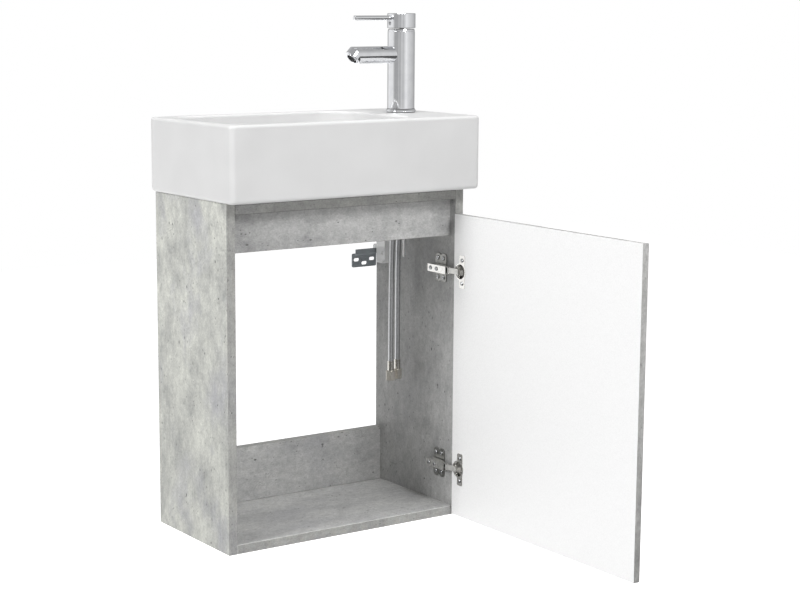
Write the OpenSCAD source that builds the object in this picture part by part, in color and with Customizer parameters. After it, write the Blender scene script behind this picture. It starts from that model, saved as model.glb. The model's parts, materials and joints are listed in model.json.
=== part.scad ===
// Wall-hung cloakroom vanity unit: an open-backed cabinet of faced boards, a glazed basin with a
// lever mixer on its right-hand deck, and one overlay door on two concealed cup hinges.
// Millimetres. X runs to the right, Y towards the wall, Z up. The origin is the middle of the
// cabinet's bottom edge on the wall. The door is drawn square open, which is its rest position.

/* [Cabinet] */
// Overhang of the basin past each side of the cabinet
side_over = 9.5; // [6:0.5:15]
// Overhang of the basin past the cabinet's front edges
front_over = 32; // [26:1:40]
// Height of the cabinet under the basin
cab_h = 547; // [530:1:600]
// Thickness of the cabinet's boards
board_t = 15; // [14:0.5:18]
// Drop of the top rails below the side boards' upper edges
rail_drop = 3.5; // [0:0.5:6]
// Depth of the flat rail across the top at the front
front_rail_d = 62; // [40:1:80]
// Depth of the flat rail across the top at the wall
back_rail_d = 50; // [30:1:60]
// Height of the upright apron under the front rail
apron_h = 60.5; // [40:0.5:90]
// Setback of the apron behind the front edges
apron_set = 14; // [8:1:25]
// Height of the upright rail at the bottom of the open back
wall_rail_h = 94; // [60:1:120]
// Diameter of the dowels in the corner joints
dowel_d = 8; // [6:1:8]
// Length of a dowel
dowel_l = 30; // [24:1:35]

/* [Door] */
// Reveal of the cabinet's side beside each upright edge of the shut door
door_reveal = 1; // [0.5:0.5:3]
// Height of the finger gap between the door and the cabinet's upper edge
finger_gap_h = 42; // [36:1:60]
// Thickness of the door
door_t = 15; // [15:0.5:19]
// Height of the door's lower edge above the cabinet's lower edge
door_lift = 2; // [0:0.5:4]
// Radius round the outer edges of the door
door_edge_r = 6; // [2:0.5:9]

/* [Basin] */
// Width of the basin
basin_w = 464; // [460:1:480]
// Depth of the basin from the wall
basin_d = 258; // [250:1:272]
// Height of the basin
basin_h = 118; // [110:1:130]
// Radius of the upright corners
basin_corner_r = 9; // [7:0.5:14]
// Radius round the top edge
basin_top_r = 5; // [3:0.5:6]
// Radius round the lower edge
basin_low_r = 6; // [3:0.5:6]
// Width of the rim in front of, behind and to the left of the bowl
rim_w = 17; // [15:1:24]
// Width of the tap deck to the right of the bowl
deck_w = 112; // [104:1:120]
// Depth of the bowl
bowl_depth = 86; // [70:1:90]
// Radius of the bowl's upright corners
bowl_corner_r = 46; // [44:1:60]
// Radius between the bowl's walls and its floor
bowl_floor_r = 38; // [20:1:40]
// Thickness of the glazed ceramic
ware_t = 10; // [8:0.5:12]
// Width of the foot under the basin's front and back
foot_w = 40; // [36:1:46]
// Width of the foot under the basin's sides
foot_side_w = 30; // [28:1:31]
// Diameter of the waste hole
waste_d = 45; // [42:1:48]
// Diameter of the seat for the waste's flange
waste_seat_d = 66; // [60:1:72]

/* [Tap] */
// Distance of the tap's axis from the basin's right side
tap_inset = 56; // [50:1:60]
// Distance of the tap's axis from the wall
tap_back = 114.5; // [100:0.5:140]
// Diameter of the tap's body
tap_d = 45; // [42:0.5:46]
// Height of the tap's body above the deck
tap_h = 136.5; // [125:0.5:160]
// Diameter of the foot ring
tap_foot_d = 50; // [48:0.5:54]
// Height of the foot ring
tap_foot_h = 6; // [4:0.5:9]
// Diameter of the lever head
head_d = 46.5; // [44:0.5:48]
// Height of the lever head
head_h = 24; // [20:0.5:28]
// Gap between the body and the lever head
head_gap = 1.2; // [1:0.1:2]
// Diameter of the lever rod
lever_d = 8; // [6:0.5:9]
// Reach of the lever rod from the tap's axis
lever_reach = 94; // [70:1:105]
// Diameter of the spout
spout_d = 28; // [24:0.5:29]
// Reach of the spout from the tap's axis to its bend
spout_reach = 92; // [80:1:110]
// Height of the spout's axis above the deck
spout_z = 94.5; // [80:1:100]
// Diameter of the aerator
aerator_d = 22; // [18:0.5:23]
// Diameter of the hole in the deck
tap_hole_d = 35; // [34:0.5:36]

/* [Supply hoses] */
// Outside diameter of a braided hose
hose_d = 8.6; // [7:0.1:9]
// Size across flats of a hose nut
nut_af = 15; // [14:0.5:17]
// Height of a hose nut
nut_h = 16; // [12:0.5:18]
// Bore of a hose nut
nut_bore_d = 11.5; // [10:0.5:12]
// Diameter of the long rod that clamps the tap
rod_d = 4; // [3:0.5:5]

/* [Hinges] */
// Height of the lower hinge above the cabinet's lower edge
hinge_low_z = 82; // [60:1:120]
// Distance of the upper hinge below the door's upper edge
hinge_drop = 93; // [60:1:130]
// Diameter of the cup
cup_d = 26; // [26:0.5:27]
// Depth of the cup
cup_depth = 12; // [11.5:0.1:12.5]
// Distance of the cup from the door's hinge edge
cup_margin = 4; // [3.5:0.1:4]
// Height of the cup's flange
flange_h = 54; // [48:1:60]
// Width of the cup's flange
flange_w = 14; // [12:0.5:16]
// Width of the link plate
link_w = 9; // [8:0.5:9.5]
// Thickness of the link plate
link_t = 2.4; // [2:0.1:2.6]
// Diameter of the hinge pins
pin_d = 2.4; // [2:0.1:2.6]
// Distance of the mounting screws behind the cabinet's front edge
plate_set = 37; // [36:0.5:40]
// Spacing of the mounting screws up the panel
plate_pitch = 32; // [30:1:34]

/* [Wall fixings] */
// Distance of the hangers below the cabinet's upper edge
hanger_drop = 85; // [70:1:110]
// Height of a hanger's housing
hanger_h = 60; // [50:1:70]
// Depth of a hanger's housing
hanger_d = 25; // [22:1:32]
// Thickness of a hanger's housing
hanger_t = 14; // [12:0.5:18]
// Distance of a hanger's housing from the wall
hanger_set = 20; // [18:1:24]
// Width of a wall plate
plate_w = 50; // [46:1:60]
// Height of a wall plate
plate_h = 32; // [30:1:40]
// Length of a slot in a wall plate
slot_l = 11.5; // [9:0.5:13]
// Width of a slot in a wall plate
slot_w = 6; // [5:0.5:7]

/* [Hidden] */
$fn = 64;

// Clearance between a pin or dowel and its hole, on the radius
fit_gap = 0.04;
// Clearance between neighbours that only meet loosely
loose_gap = 0.4;
// Overshoot of a cut past the face that it opens
cut = 1;

board_colour = "#a9a9a7";
facing_colour = "#f2f2f2";
ware_colour = "#eef0f2";
chrome_colour = "#c9ccd0";
steel_colour = "#8f9498";
dark_steel_colour = "#4a4f54";
plastic_colour = "#e6e8ea";
rubber_colour = "#2b2b2b";
beech_colour = "#c8a878";

// Cabinet
cab_w = basin_w - 2 * side_over;
cab_d = basin_d - front_over;
inner_w = cab_w - 2 * board_t;
inner_x = inner_w / 2;
rail_z = cab_h - rail_drop - board_t;
dowel_end = board_t - 5;
dowel_rail_inset = 16;
dowel_gap_z = 0.5;

// Basin
deck_z = cab_h + basin_h;
bowl_w = basin_w - rim_w - deck_w;
bowl_l = basin_d - 2 * rim_w;
bowl_x = -basin_w / 2 + rim_w + bowl_w / 2;
bowl_y = -basin_d / 2;
lip_r = 4;
waste_seat_depth = 2.5;
waste_boss_t = 5;
skirt_top_z = deck_z - ware_t - 4;

// Tap
tap_x = basin_w / 2 - tap_inset;
tap_y = -tap_back;
gasket_t = 1.5;
body_top_z = deck_z + tap_h;
head_z = body_top_z + head_gap;
collar_h = 4;
collar_groove = 0.5;
spout_axis_z = deck_z + spout_z;
spout_bore_d = spout_d - 9;
spout_nose = 7;
spout_bend = 45;
spout_socket = 5;
aerator_socket = 4;
aerator_rise = 1.5;
spout_nose_depth = 5;
cartridge_d = 34;
cartridge_h = 32;
stem_d = 9;
stem_l = 14;
stem_disc_d = 20;
stem_disc_t = 6;
stem_rise = 9;
spindle_d = 8;
head_pocket_r = 13;
head_pocket_h = 12;
lever_z = head_z + head_h - lever_d / 2 - 3.5;
stem_z = body_top_z - stem_rise - stem_l + loose_gap;
grub_z = head_z + 8;
lever_socket = 16;
grub_plug_d = 7;
grub_plug_l = 6;
grub_d = 5;

// Supply hoses and the clamp below the deck
hose_x = 7.5;
hose_y = 4;
rod_x = 3;
rod_y = -7;
rod_drop = 241;
rod_low_z = deck_z - rod_drop;
nipple_d = 9.2;
nipple_top_z = deck_z + 16;
hose_drop = 37;
hose_top_z = deck_z - hose_drop;
ferrule_d = 10.6;
ferrule_h = 17;
nut_drop = 452;
nut_z = deck_z - nut_drop;
ferrule_z = nut_z + nut_h;
hose_low = nut_h + ferrule_h - nut_drop;
hose_sides = 8;
nut_thread_l = nut_h * 2 / 3;
tail_d = ferrule_d - 2;
washer_t = 3;
washer_z = deck_z - ware_t - 4 - washer_t;
clamp_nut_af = 8;
clamp_nut_h = 4;

// Routes of the hoses from the tap down to their ferrules, from the tap's axis on the deck
hot_route = [[-hose_x, hose_y, -hose_drop], [-7.5, 4, -55], [-7.6, 4.2, -75], [-8, 5, -100],
    [-8.6, 6, -125], [-9.3, 6.8, -155], [-10, 7.3, -185], [-10.6, 7.6, -215], [-11, 7.8, -245],
    [-11.4, 8, -275], [-11.7, 8, -305], [-11.9, 8, -335], [-12, 8, -365], [-12, 8, -395],
    [-12, 8, hose_low]];
cold_route = [[hose_x, hose_y, -hose_drop], [7.5, 4, -55], [7.4, 4.4, -75], [7.2, 6, -100],
    [7, 8, -125], [6.8, 10, -155], [6.7, 12, -185], [6.6, 13.4, -215], [6.5, 14.3, -245],
    [6.5, 14.8, -275], [6.5, 15, -305], [6.5, 15, -335], [6.5, 15, -365], [6.5, 15, -395],
    [6.5, 15, hose_low]];

// Door
door_w = cab_w - 2 * door_reveal;
door_h = cab_h - finger_gap_h - door_lift;
door_gap = 3;
door_step = 4;
door_x = inner_x - door_step;
door_y = -cab_d - door_gap;
hinge_high_z = door_lift + door_h - hinge_drop;
hinge_zs = [hinge_high_z, hinge_low_z];

// Hinge, in a frame at the panel's inner front corner: X into the panel, Y towards the wall
arm_pivot = [-11, 3];
cup_pivot = [-2, -12];
link_elbow = [-7, -16];
eye_r = 2.2;
arm_in = link_w / 2 + 0.5;
arm_wall = 1.2;
arm_out = arm_in + arm_wall;
arm_top = -16;
arm_nose_r = 3.2;
arm_neck_y = 14;
arm_step_y = 24;
arm_tail = 56;
cup_y = -door_gap - cup_margin - cup_d / 2;
cup_wall = 1;
flange_t = 1;
flange_y = cup_y - 5;
cup_screw_z = 19;
cup_screw_d = 3.4;
cup_screw_l = 11;
cup_head_d = 6.6;
cup_head_h = 1.6;
ear_r = 2.4;
plate_t = 1.5;
plate_half = 15;
plate_reach = 24;
plate_lobe_r = 6;
block_d = 34;
block_top = -8;
plate_screw_y = 7.5;
plate_screw_d = 3.8;
plate_screw_l = 11;
plate_head_d = 7;
plate_head_h = 1.8;
arm_screw_ys = [30, 46];
arm_screw_d = 4;
arm_head_d = 7;
arm_head_h = 1.4;

// Wall fixings
hook_t = 2;
hook_w = 12;
wall_plate_t = 2;
wall_plate_x = inner_x - 2 - plate_w / 2;
hanger_z = cab_h - hanger_drop - hanger_h;
boss_low = 18;
boss_high = 46;
wall_plate_drop = 9;
wall_plate_z = hanger_z - wall_plate_drop;
lip_h = 10;
lip_jog = 5;
neck_inset = 3;
slot_row_z = wall_plate_z + 13;
slot_low_z = wall_plate_z + 6.5;
slot_spacing = 32;
hook_notch = 5;
hook_z = wall_plate_z + plate_h - hook_notch;
hook_clear = 0.6;

// Flat shapes

// Rectangle w by d with corners of radius r, centred
module rounded_rect(w, d, r) {
    square([w - 2 * r, d], center = true);
    square([w, d - 2 * r], center = true);
    for (sx = [-1, 1])
        for (sy = [-1, 1])
            translate([sx * (w / 2 - r), sy * (d / 2 - r)])
                circle(r);
}

// Slot of total length l and width w along X, centred
module slot_shape(l, w) {
    square([l - w, w], center = true);
    for (s = [-1, 1])
        translate([s * (l - w) / 2, 0])
            circle(w / 2);
}

// Strip of thickness t with round ends from point a to point b
module strip(a, b, t) {
    run = b - a;
    translate(a)
        rotate(atan2(run[1], run[0]))
            translate([0, -t / 2])
                square([norm(run), t]);
    translate(a)
        circle(t / 2);
    translate(b)
        circle(t / 2);
}

// Half section of a block's side, from its middle out to r, with rounded upper and lower corners
module side_section(r, h, top_r, low_r) {
    translate([0, low_r])
        square([r, h - low_r - top_r]);
    square([r - low_r, h]);
    translate([0, h - top_r])
        square([r - top_r, top_r]);
    intersection() {
        translate([r - low_r, low_r])
            circle(low_r);
        translate([r - low_r, 0])
            square(low_r);
    }
    intersection() {
        translate([r - top_r, h - top_r])
            circle(top_r);
        translate([r - top_r, h - top_r])
            square(top_r);
    }
}

// Half section of the bowl, from its corner's axis out to r, with a floor radius and a rolled lip
module bowl_section(r, depth, floor_r, lip) {
    translate([0, floor_r - depth])
        square([r, depth - floor_r]);
    translate([0, -depth])
        square([r - floor_r, depth]);
    intersection() {
        translate([r - floor_r, floor_r - depth])
            circle(floor_r);
        translate([r - floor_r, -depth])
            square(floor_r);
    }
    if (lip > 0)
        difference() {
            translate([r - cut, -lip])
                square([lip + cut, lip]);
            translate([r + lip, -lip])
                circle(lip);
        }
}

// Block of plan w by d whose side is the child section, drawn from a corner axis outwards
module swept_block(w, d, r, h, low = 0) {
    for (sx = [0, 1])
        for (sy = [0, 1])
            mirror([sx, 0, 0])
                mirror([0, sy, 0])
                    translate([w / 2 - r, d / 2 - r, 0])
                        rotate_extrude(angle = 90, $fn = 96)
                            children();
    for (sx = [0, 1])
        mirror([sx, 0, 0])
            translate([w / 2 - r, d / 2 - r, 0])
                rotate([90, 0, 0])
                    linear_extrude(d - 2 * r)
                        children();
    for (sy = [0, 1])
        mirror([0, sy, 0])
            translate([-w / 2 + r, d / 2 - r, 0])
                rotate([90, 0, 90])
                    linear_extrude(w - 2 * r)
                        children();
    translate([-w / 2 + r, -d / 2 + r, low])
        cube([w - 2 * r, d - 2 * r, h]);
}

// Straight hex prism, size across flats af
module hex(af, h) {
    cylinder(d = af / cos(30), h = h, $fn = 6);
}

// Cross recess cut into a screw head whose top is at z = 0
module cross_recess(size, depth) {
    for (turn = [0, 90])
        rotate(turn)
            translate([-size / 2, -size / 10, -depth])
                cube([size, size / 5, depth + cut]);
}

// Screw with a pan head above z = 0 and its shank below
module pan_screw(shank_d, shank_l, head_d, head_h) {
    translate([0, 0, -shank_l])
        cylinder(d = shank_d, h = shank_l + head_h / 2);
    difference() {
        union() {
            cylinder(d = head_d, h = head_h * 0.6);
            translate([0, 0, head_h * 0.6])
                cylinder(d1 = head_d, d2 = head_d * 0.7, h = head_h * 0.4);
        }
        translate([0, 0, head_h])
            cross_recess(head_d * 0.6, head_h * 0.5);
    }
}

// Tube along a route, with a ring of sides at each point
function ring(p, r, n) = [for (i = [0:n - 1])
    [p[0] + r * cos(i * 360 / n), p[1] + r * sin(i * 360 / n), p[2]]];

module tube(route, d, n) {
    count = len(route);
    rings = [for (p = route) each ring(p, d / 2, n)];
    sides = [for (k = [0:count - 2]) for (i = [0:n - 1])
        [k * n + i, (k + 1) * n + i, (k + 1) * n + (i + 1) % n, k * n + (i + 1) % n]];
    first = [[for (i = [0:n - 1]) i]];
    last = [[for (i = [0:n - 1]) count * n - 1 - i]];
    polyhedron(points = rings, faces = concat(sides, first, last));
}

// Cabinet

// Places a dowel hole or dowel at each corner joint; side is -1 for the left and 1 for the right
module at_dowels(side) {
    joints = [
        [-cab_d + dowel_rail_inset, board_t / 2],
        [-dowel_rail_inset, board_t / 2],
        [-cab_d + dowel_rail_inset, rail_z + board_t / 2],
        [-cab_d + front_rail_d - dowel_rail_inset, rail_z + board_t / 2],
        [-back_rail_d + dowel_rail_inset, rail_z + board_t / 2],
        [-dowel_rail_inset, rail_z + board_t / 2],
        [-cab_d + apron_set + board_t / 2, rail_z - apron_h / 3],
        [-board_t / 2, board_t + dowel_rail_inset],
        [-board_t / 2, board_t + wall_rail_h - dowel_rail_inset]];
    for (j = joints)
        translate([side * inner_x, j[0], j[1]])
            rotate([0, 90, 0])
                translate([0, 0, side > 0 ? dowel_end - dowel_l : -dowel_end])
                    children();
}

module dowel_holes(side) {
    at_dowels(side)
        translate([0, 0, -dowel_gap_z])
            cylinder(d = dowel_d + 2 * fit_gap, h = dowel_l + 2 * dowel_gap_z);
}

module dowels() {
    color(beech_colour)
        for (side = [-1, 1])
            at_dowels(side)
                cylinder(d = dowel_d, h = dowel_l);
}

module side_board(side) {
    x = side > 0 ? inner_x : -inner_x - board_t;
    difference() {
        translate([x, -cab_d, 0])
            cube([board_t, cab_d, cab_h]);
        dowel_holes(side);
    }
}

module left_side_panel() {
    color(board_colour)
        side_board(-1);
}

module right_side_panel() {
    color(board_colour)
        difference() {
            side_board(1);
            at_plate_screws()
                translate([0, 0, -plate_screw_l - dowel_gap_z])
                    cylinder(d = plate_screw_d + 2 * fit_gap, h = plate_screw_l + plate_t + dowel_gap_z);
        }
}

module cross_board(y, depth, z, height) {
    color(board_colour)
        difference() {
            translate([-inner_x, y, z])
                cube([inner_w, depth, height]);
            dowel_holes(-1);
            dowel_holes(1);
        }
}

module bottom_panel() {
    cross_board(-cab_d, cab_d, 0, board_t);
}

module top_front_rail() {
    cross_board(-cab_d, front_rail_d, rail_z, board_t);
}

module top_back_rail() {
    cross_board(-back_rail_d, back_rail_d, rail_z, board_t);
}

module front_apron() {
    cross_board(-cab_d + apron_set, board_t, rail_z - apron_h, apron_h);
}

module lower_wall_rail() {
    cross_board(-board_t, board_t, board_t, wall_rail_h);
}

// Basin

module bowl_form(grow, lip) {
    translate([bowl_x, bowl_y, deck_z])
        swept_block(bowl_w + 2 * grow, bowl_l + 2 * grow, bowl_corner_r + grow,
            bowl_depth + grow + lip, -bowl_depth - grow)
            bowl_section(bowl_corner_r + grow, bowl_depth + grow, bowl_floor_r + grow, lip);
}

module basin() {
    color(ware_colour)
        difference() {
            translate([0, -basin_d / 2, cab_h])
                swept_block(basin_w, basin_d, basin_corner_r, basin_h)
                    side_section(basin_corner_r, basin_h, basin_top_r, basin_low_r);
            bowl_form(0, lip_r);
            difference() {
                union() {
                    translate([0, -basin_d / 2, cab_h + ware_t])
                        linear_extrude(skirt_top_z - cab_h - ware_t)
                            rounded_rect(basin_w - 2 * ware_t, basin_d - 2 * ware_t, basin_corner_r);
                    translate([0, -basin_d / 2, cab_h - cut])
                        linear_extrude(ware_t + 2 * cut)
                            rounded_rect(basin_w - 2 * foot_side_w, basin_d - 2 * foot_w, basin_corner_r);
                }
                bowl_form(ware_t, 0);
                translate([bowl_x, bowl_y, deck_z - bowl_depth - ware_t - waste_boss_t])
                    cylinder(d = waste_seat_d + 4, h = waste_boss_t + ware_t, $fn = 96);
            }
            translate([bowl_x, bowl_y, deck_z - bowl_depth - 2 * ware_t])
                cylinder(d = waste_d, h = 3 * ware_t, $fn = 96);
            translate([bowl_x, bowl_y, deck_z - bowl_depth - waste_seat_depth])
                cylinder(d = waste_seat_d, h = ware_t, $fn = 96);
            translate([tap_x, tap_y, skirt_top_z - cut])
                cylinder(d = tap_hole_d, h = 2 * ware_t, $fn = 96);
        }
}

// Tap

module at_tap(z = 0) {
    translate([tap_x, tap_y, z])
        children();
}

module tap_gasket() {
    color(rubber_colour)
        at_tap(deck_z)
            difference() {
                cylinder(d = tap_foot_d - 3, h = gasket_t);
                translate([0, 0, -cut])
                    cylinder(d = tap_hole_d - 2, h = gasket_t + 2 * cut);
            }
}

module tap_profile() {
    foot_r = tap_foot_d / 2;
    body_r = tap_d / 2;
    top = tap_h;
    polygon([[0, gasket_t], [foot_r, gasket_t], [foot_r, gasket_t + 1.5], [body_r + 0.6, tap_foot_h],
        [body_r, tap_foot_h + 0.3], [body_r, top - collar_h - collar_groove],
        [body_r - collar_groove, top - collar_h - collar_groove],
        [body_r - collar_groove, top - collar_h], [body_r, top - collar_h],
        [body_r - 1.2, top], [0, top]]);
}

module spout_line() {
    translate([0, 0, spout_axis_z - deck_z])
        rotate([0, -90, 0])
            children();
}

module tap_body() {
    color(chrome_colour)
        at_tap(deck_z)
            difference() {
                rotate_extrude($fn = 96)
                    tap_profile();
                translate([0, 0, tap_h - cartridge_h - stem_rise])
                    cylinder(d = cartridge_d, h = cartridge_h + stem_rise + cut);
                spout_line()
                    translate([0, 0, tap_d / 2 - spout_socket])
                        cylinder(d = spout_d + 2 * fit_gap, h = tap_d);
                spout_line()
                    cylinder(d = spout_bore_d, h = tap_d);
                for (s = [-1, 1])
                    translate([s * hose_x, hose_y, -cut])
                        cylinder(d = nipple_d + 2 * fit_gap, h = nipple_top_z - deck_z + cut + loose_gap);
                translate([rod_x, rod_y, -cut])
                    cylinder(d = rod_d + 2 * fit_gap, h = nipple_top_z - deck_z + cut + loose_gap);
            }
}

// Half-space beyond the spout's mitre: side 1 keeps the barrel and -1 keeps the nose
module mitre_half(side) {
    size = 4 * spout_reach;
    translate([-spout_reach, 0, 0])
        rotate([0, -spout_bend / 2, 0])
            translate([side > 0 ? 0 : -size, -size / 2, -size / 2])
                cube(size);
}

// Places a child at the bend with its Z axis down the nose
module at_nose(z) {
    translate([-spout_reach, 0, 0])
        rotate([0, -90 - spout_bend, 0])
            translate([0, 0, z])
                children();
}

// Straight barrel that ends in a mitre, and a short nose that turns down from it
module spout() {
    root = tap_d / 2 - spout_socket;
    color(chrome_colour)
        at_tap(spout_axis_z)
            difference() {
                union() {
                    intersection() {
                        rotate([0, -90, 0])
                            translate([0, 0, root])
                                cylinder(d = spout_d, h = spout_reach - root + spout_d);
                        mitre_half(1);
                    }
                    intersection() {
                        at_nose(-spout_d)
                            cylinder(d = spout_d, h = spout_d + spout_nose);
                        mitre_half(-1);
                    }
                }
                rotate([0, -90, 0])
                    translate([0, 0, root - cut])
                        cylinder(d = spout_bore_d, h = spout_reach - root + cut);
                at_nose(-spout_nose_depth)
                    cylinder(d = aerator_d - 4, h = spout_nose_depth + spout_nose + cut);
                at_nose(spout_nose - aerator_socket)
                    cylinder(d = aerator_d + 2 * fit_gap, h = spout_nose);
            }
}

module aerator() {
    color(dark_steel_colour)
        at_tap(spout_axis_z)
            at_nose(spout_nose - aerator_socket)
                difference() {
                    cylinder(d = aerator_d, h = aerator_socket + aerator_rise);
                    translate([0, 0, aerator_socket])
                        cylinder(d = aerator_d - 4, h = aerator_rise + cut);
                }
}

module cartridge() {
    color(plastic_colour)
        at_tap(body_top_z - cartridge_h - stem_rise)
            difference() {
                cylinder(d = cartridge_d - 2 * fit_gap, h = cartridge_h);
                translate([0, 0, cartridge_h - stem_l])
                    cylinder(d = stem_d + 2 * fit_gap, h = stem_l + cut);
            }
}

module cartridge_stem() {
    color(plastic_colour)
        at_tap(stem_z)
            union() {
                cylinder(d = stem_d, h = stem_l + loose_gap);
                translate([0, 0, stem_l])
                    cylinder(d = stem_disc_d, h = stem_disc_t);
            }
}

module lever_head() {
    r = head_d / 2;
    color(chrome_colour)
        at_tap(head_z)
            difference() {
                rotate_extrude($fn = 96)
                    difference() {
                        polygon([[0, 0], [r - 0.6, 0], [r, 0.6], [r, head_h - 0.8], [r - 0.8, head_h],
                            [0, head_h]]);
                        translate([0, -cut])
                            square([head_pocket_r, head_pocket_h + cut]);
                    }
                translate([0, 0, lever_z - head_z])
                    rotate([0, -90, 0])
                        translate([0, 0, r - lever_socket])
                            cylinder(d = lever_d + 2 * fit_gap, h = lever_socket + cut);
                translate([0, 0, grub_z - head_z])
                    rotate([0, -90, 0])
                        translate([0, 0, r - grub_plug_l])
                            cylinder(d = grub_plug_d + 2 * fit_gap, h = r);
                translate([0, 0, grub_z - head_z])
                    rotate([0, -90, 0])
                        cylinder(d = grub_d + 2 * fit_gap, h = r);
            }
}

module lever_rod() {
    r = lever_d / 2;
    root = head_d / 2 - lever_socket + loose_gap;
    color(chrome_colour)
        at_tap(lever_z)
            rotate([0, -90, 0])
                translate([0, 0, root])
                    rotate_extrude()
                        polygon([[0, 0], [r, 0], [r, lever_reach - root - 1], [r - 1, lever_reach - root],
                            [0, lever_reach - root]]);
}

// Square-cut spindle that the head clamps, clear of the stem so that it can tilt
module lever_spindle() {
    low = stem_z + stem_l + stem_disc_t + loose_gap;
    color(steel_colour)
        at_tap(low)
            cylinder(d = spindle_d, h = head_z + head_pocket_h - low);
}

module lever_grub_screw() {
    r = head_d / 2;
    color(plastic_colour)
        at_tap(grub_z)
            rotate([0, -90, 0])
                difference() {
                    union() {
                        translate([0, 0, spindle_d / 2])
                            cylinder(d = grub_d, h = r - grub_plug_l);
                        translate([0, 0, r - grub_plug_l + fit_gap])
                            cylinder(d = grub_plug_d, h = grub_plug_l - 0.2);
                    }
                    translate([0, 0, r - grub_plug_l / 2])
                        cylinder(d = 3, h = grub_plug_l, $fn = 6);
                }
}

module tap_rod() {
    r = rod_d / 2;
    color(steel_colour)
        at_tap(rod_low_z)
            translate([rod_x, rod_y, 0])
                rotate_extrude()
                    polygon([[0, 0], [r - 0.6, 0], [r, 0.6], [r, nipple_top_z - rod_low_z],
                        [0, nipple_top_z - rod_low_z]]);
}

module clamp_washer() {
    color(steel_colour)
        at_tap(washer_z)
            difference() {
                cylinder(d = tap_hole_d + 9, h = washer_t);
                translate([0, 0, -cut])
                    linear_extrude(washer_t + 2 * cut)
                        union() {
                            translate([0, hose_y])
                                slot_shape(2 * hose_x + ferrule_d + 2, ferrule_d + 2);
                            translate([-hose_x - ferrule_d / 2 - 1, hose_y])
                                square([2 * hose_x + ferrule_d + 2, tap_hole_d]);
                        }
                translate([rod_x, rod_y, -cut])
                    cylinder(d = rod_d + 2 * fit_gap, h = washer_t + 2 * cut);
            }
}

module clamp_nut() {
    color(steel_colour)
        at_tap(washer_z - clamp_nut_h)
            translate([rod_x, rod_y, 0])
                difference() {
                    hex(clamp_nut_af, clamp_nut_h);
                    translate([0, 0, -cut])
                        cylinder(d = rod_d + 2 * fit_gap, h = clamp_nut_h + 2 * cut);
                }
}

// Supply hoses

module hose(route) {
    color(steel_colour)
        at_tap(deck_z)
            tube(route, hose_d, hose_sides);
}

module hot_hose() {
    hose(hot_route);
}

module cold_hose() {
    hose(cold_route);
}

// Threaded nipple in the tap's body, with the hose's crimped sleeve below it
module hose_nipple(x, y) {
    color(chrome_colour)
        at_tap()
            translate([x, y, hose_top_z])
                union() {
                    cylinder(d = ferrule_d, h = ferrule_h);
                    cylinder(d = nipple_d, h = nipple_top_z - hose_top_z);
                }
}

module hot_hose_nipple() {
    hose_nipple(hot_route[0][0], hot_route[0][1]);
}

module cold_hose_nipple() {
    hose_nipple(cold_route[0][0], cold_route[0][1]);
}

// Crimped sleeve at the hose's lower end, with the flared tail that holds the nut
module hose_ferrule(end) {
    color(chrome_colour)
        at_tap()
            translate([end[0], end[1], ferrule_z])
                union() {
                    cylinder(d = ferrule_d, h = ferrule_h);
                    translate([0, 0, nut_thread_l - nut_h])
                        cylinder(d = tail_d, h = nut_h - nut_thread_l + cut);
                }
}

module hot_hose_ferrule() {
    hose_ferrule(hot_route[len(hot_route) - 1]);
}

module cold_hose_ferrule() {
    hose_ferrule(cold_route[len(cold_route) - 1]);
}

module hose_nut(end) {
    color(chrome_colour)
        at_tap()
            translate([end[0], end[1], nut_z])
                difference() {
                    intersection() {
                        hex(nut_af, nut_h);
                        cylinder(d1 = nut_af + 0.6, d2 = nut_af + 2 * nut_h, h = nut_h);
                        cylinder(d2 = nut_af + 0.6, d1 = nut_af + 2 * nut_h, h = nut_h);
                    }
                    translate([0, 0, -cut])
                        cylinder(d = nut_bore_d, h = nut_thread_l + cut);
                    translate([0, 0, nut_h / 2])
                        cylinder(d = tail_d + 2 * fit_gap, h = nut_h);
                }
}

module hot_hose_nut() {
    hose_nut(hot_route[len(hot_route) - 1]);
}

module cold_hose_nut() {
    hose_nut(cold_route[len(cold_route) - 1]);
}

// Hinges: the frame of each is at the panel's inner front corner, at the hinge's own height

module at_hinge(z) {
    translate([inner_x, -cab_d, z])
        children();
}

module at_each_hinge() {
    for (z = hinge_zs)
        at_hinge(z)
            children();
}

// Turns a child's Z axis to point out of the panel, into the cabinet
module facing_in() {
    rotate([0, -90, 0])
        children();
}

module at_plate_screws() {
    at_each_hinge()
        for (sy = [-1, 1])
            for (sz = [-1, 1])
                translate([-plate_t, plate_set + sy * plate_screw_y, sz * plate_pitch / 2])
                    facing_in()
                        children();
}

module at_cup_screws() {
    at_each_hinge()
        for (sz = [-1, 1])
            translate([-door_step - flange_t, flange_y, sz * cup_screw_z])
                facing_in()
                    children();
}

module pin(z, half) {
    translate([0, 0, z - half])
        cylinder(d = pin_d, h = 2 * half, $fn = 32);
}

module hinge_link(z) {
    color(chrome_colour)
        at_hinge(z)
            difference() {
                translate([0, 0, -link_w / 2])
                    linear_extrude(link_w)
                        union() {
                            strip(arm_pivot, link_elbow, link_t);
                            strip(link_elbow, cup_pivot, link_t);
                            translate(arm_pivot)
                                circle(eye_r);
                            translate(cup_pivot)
                                circle(eye_r);
                        }
                for (p = [arm_pivot, cup_pivot])
                    translate([p[0], p[1], -link_w])
                        cylinder(d = pin_d + 2 * fit_gap, h = 2 * link_w, $fn = 32);
            }
}

module upper_hinge_link() {
    hinge_link(hinge_high_z);
}

module lower_hinge_link() {
    hinge_link(hinge_low_z);
}

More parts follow.
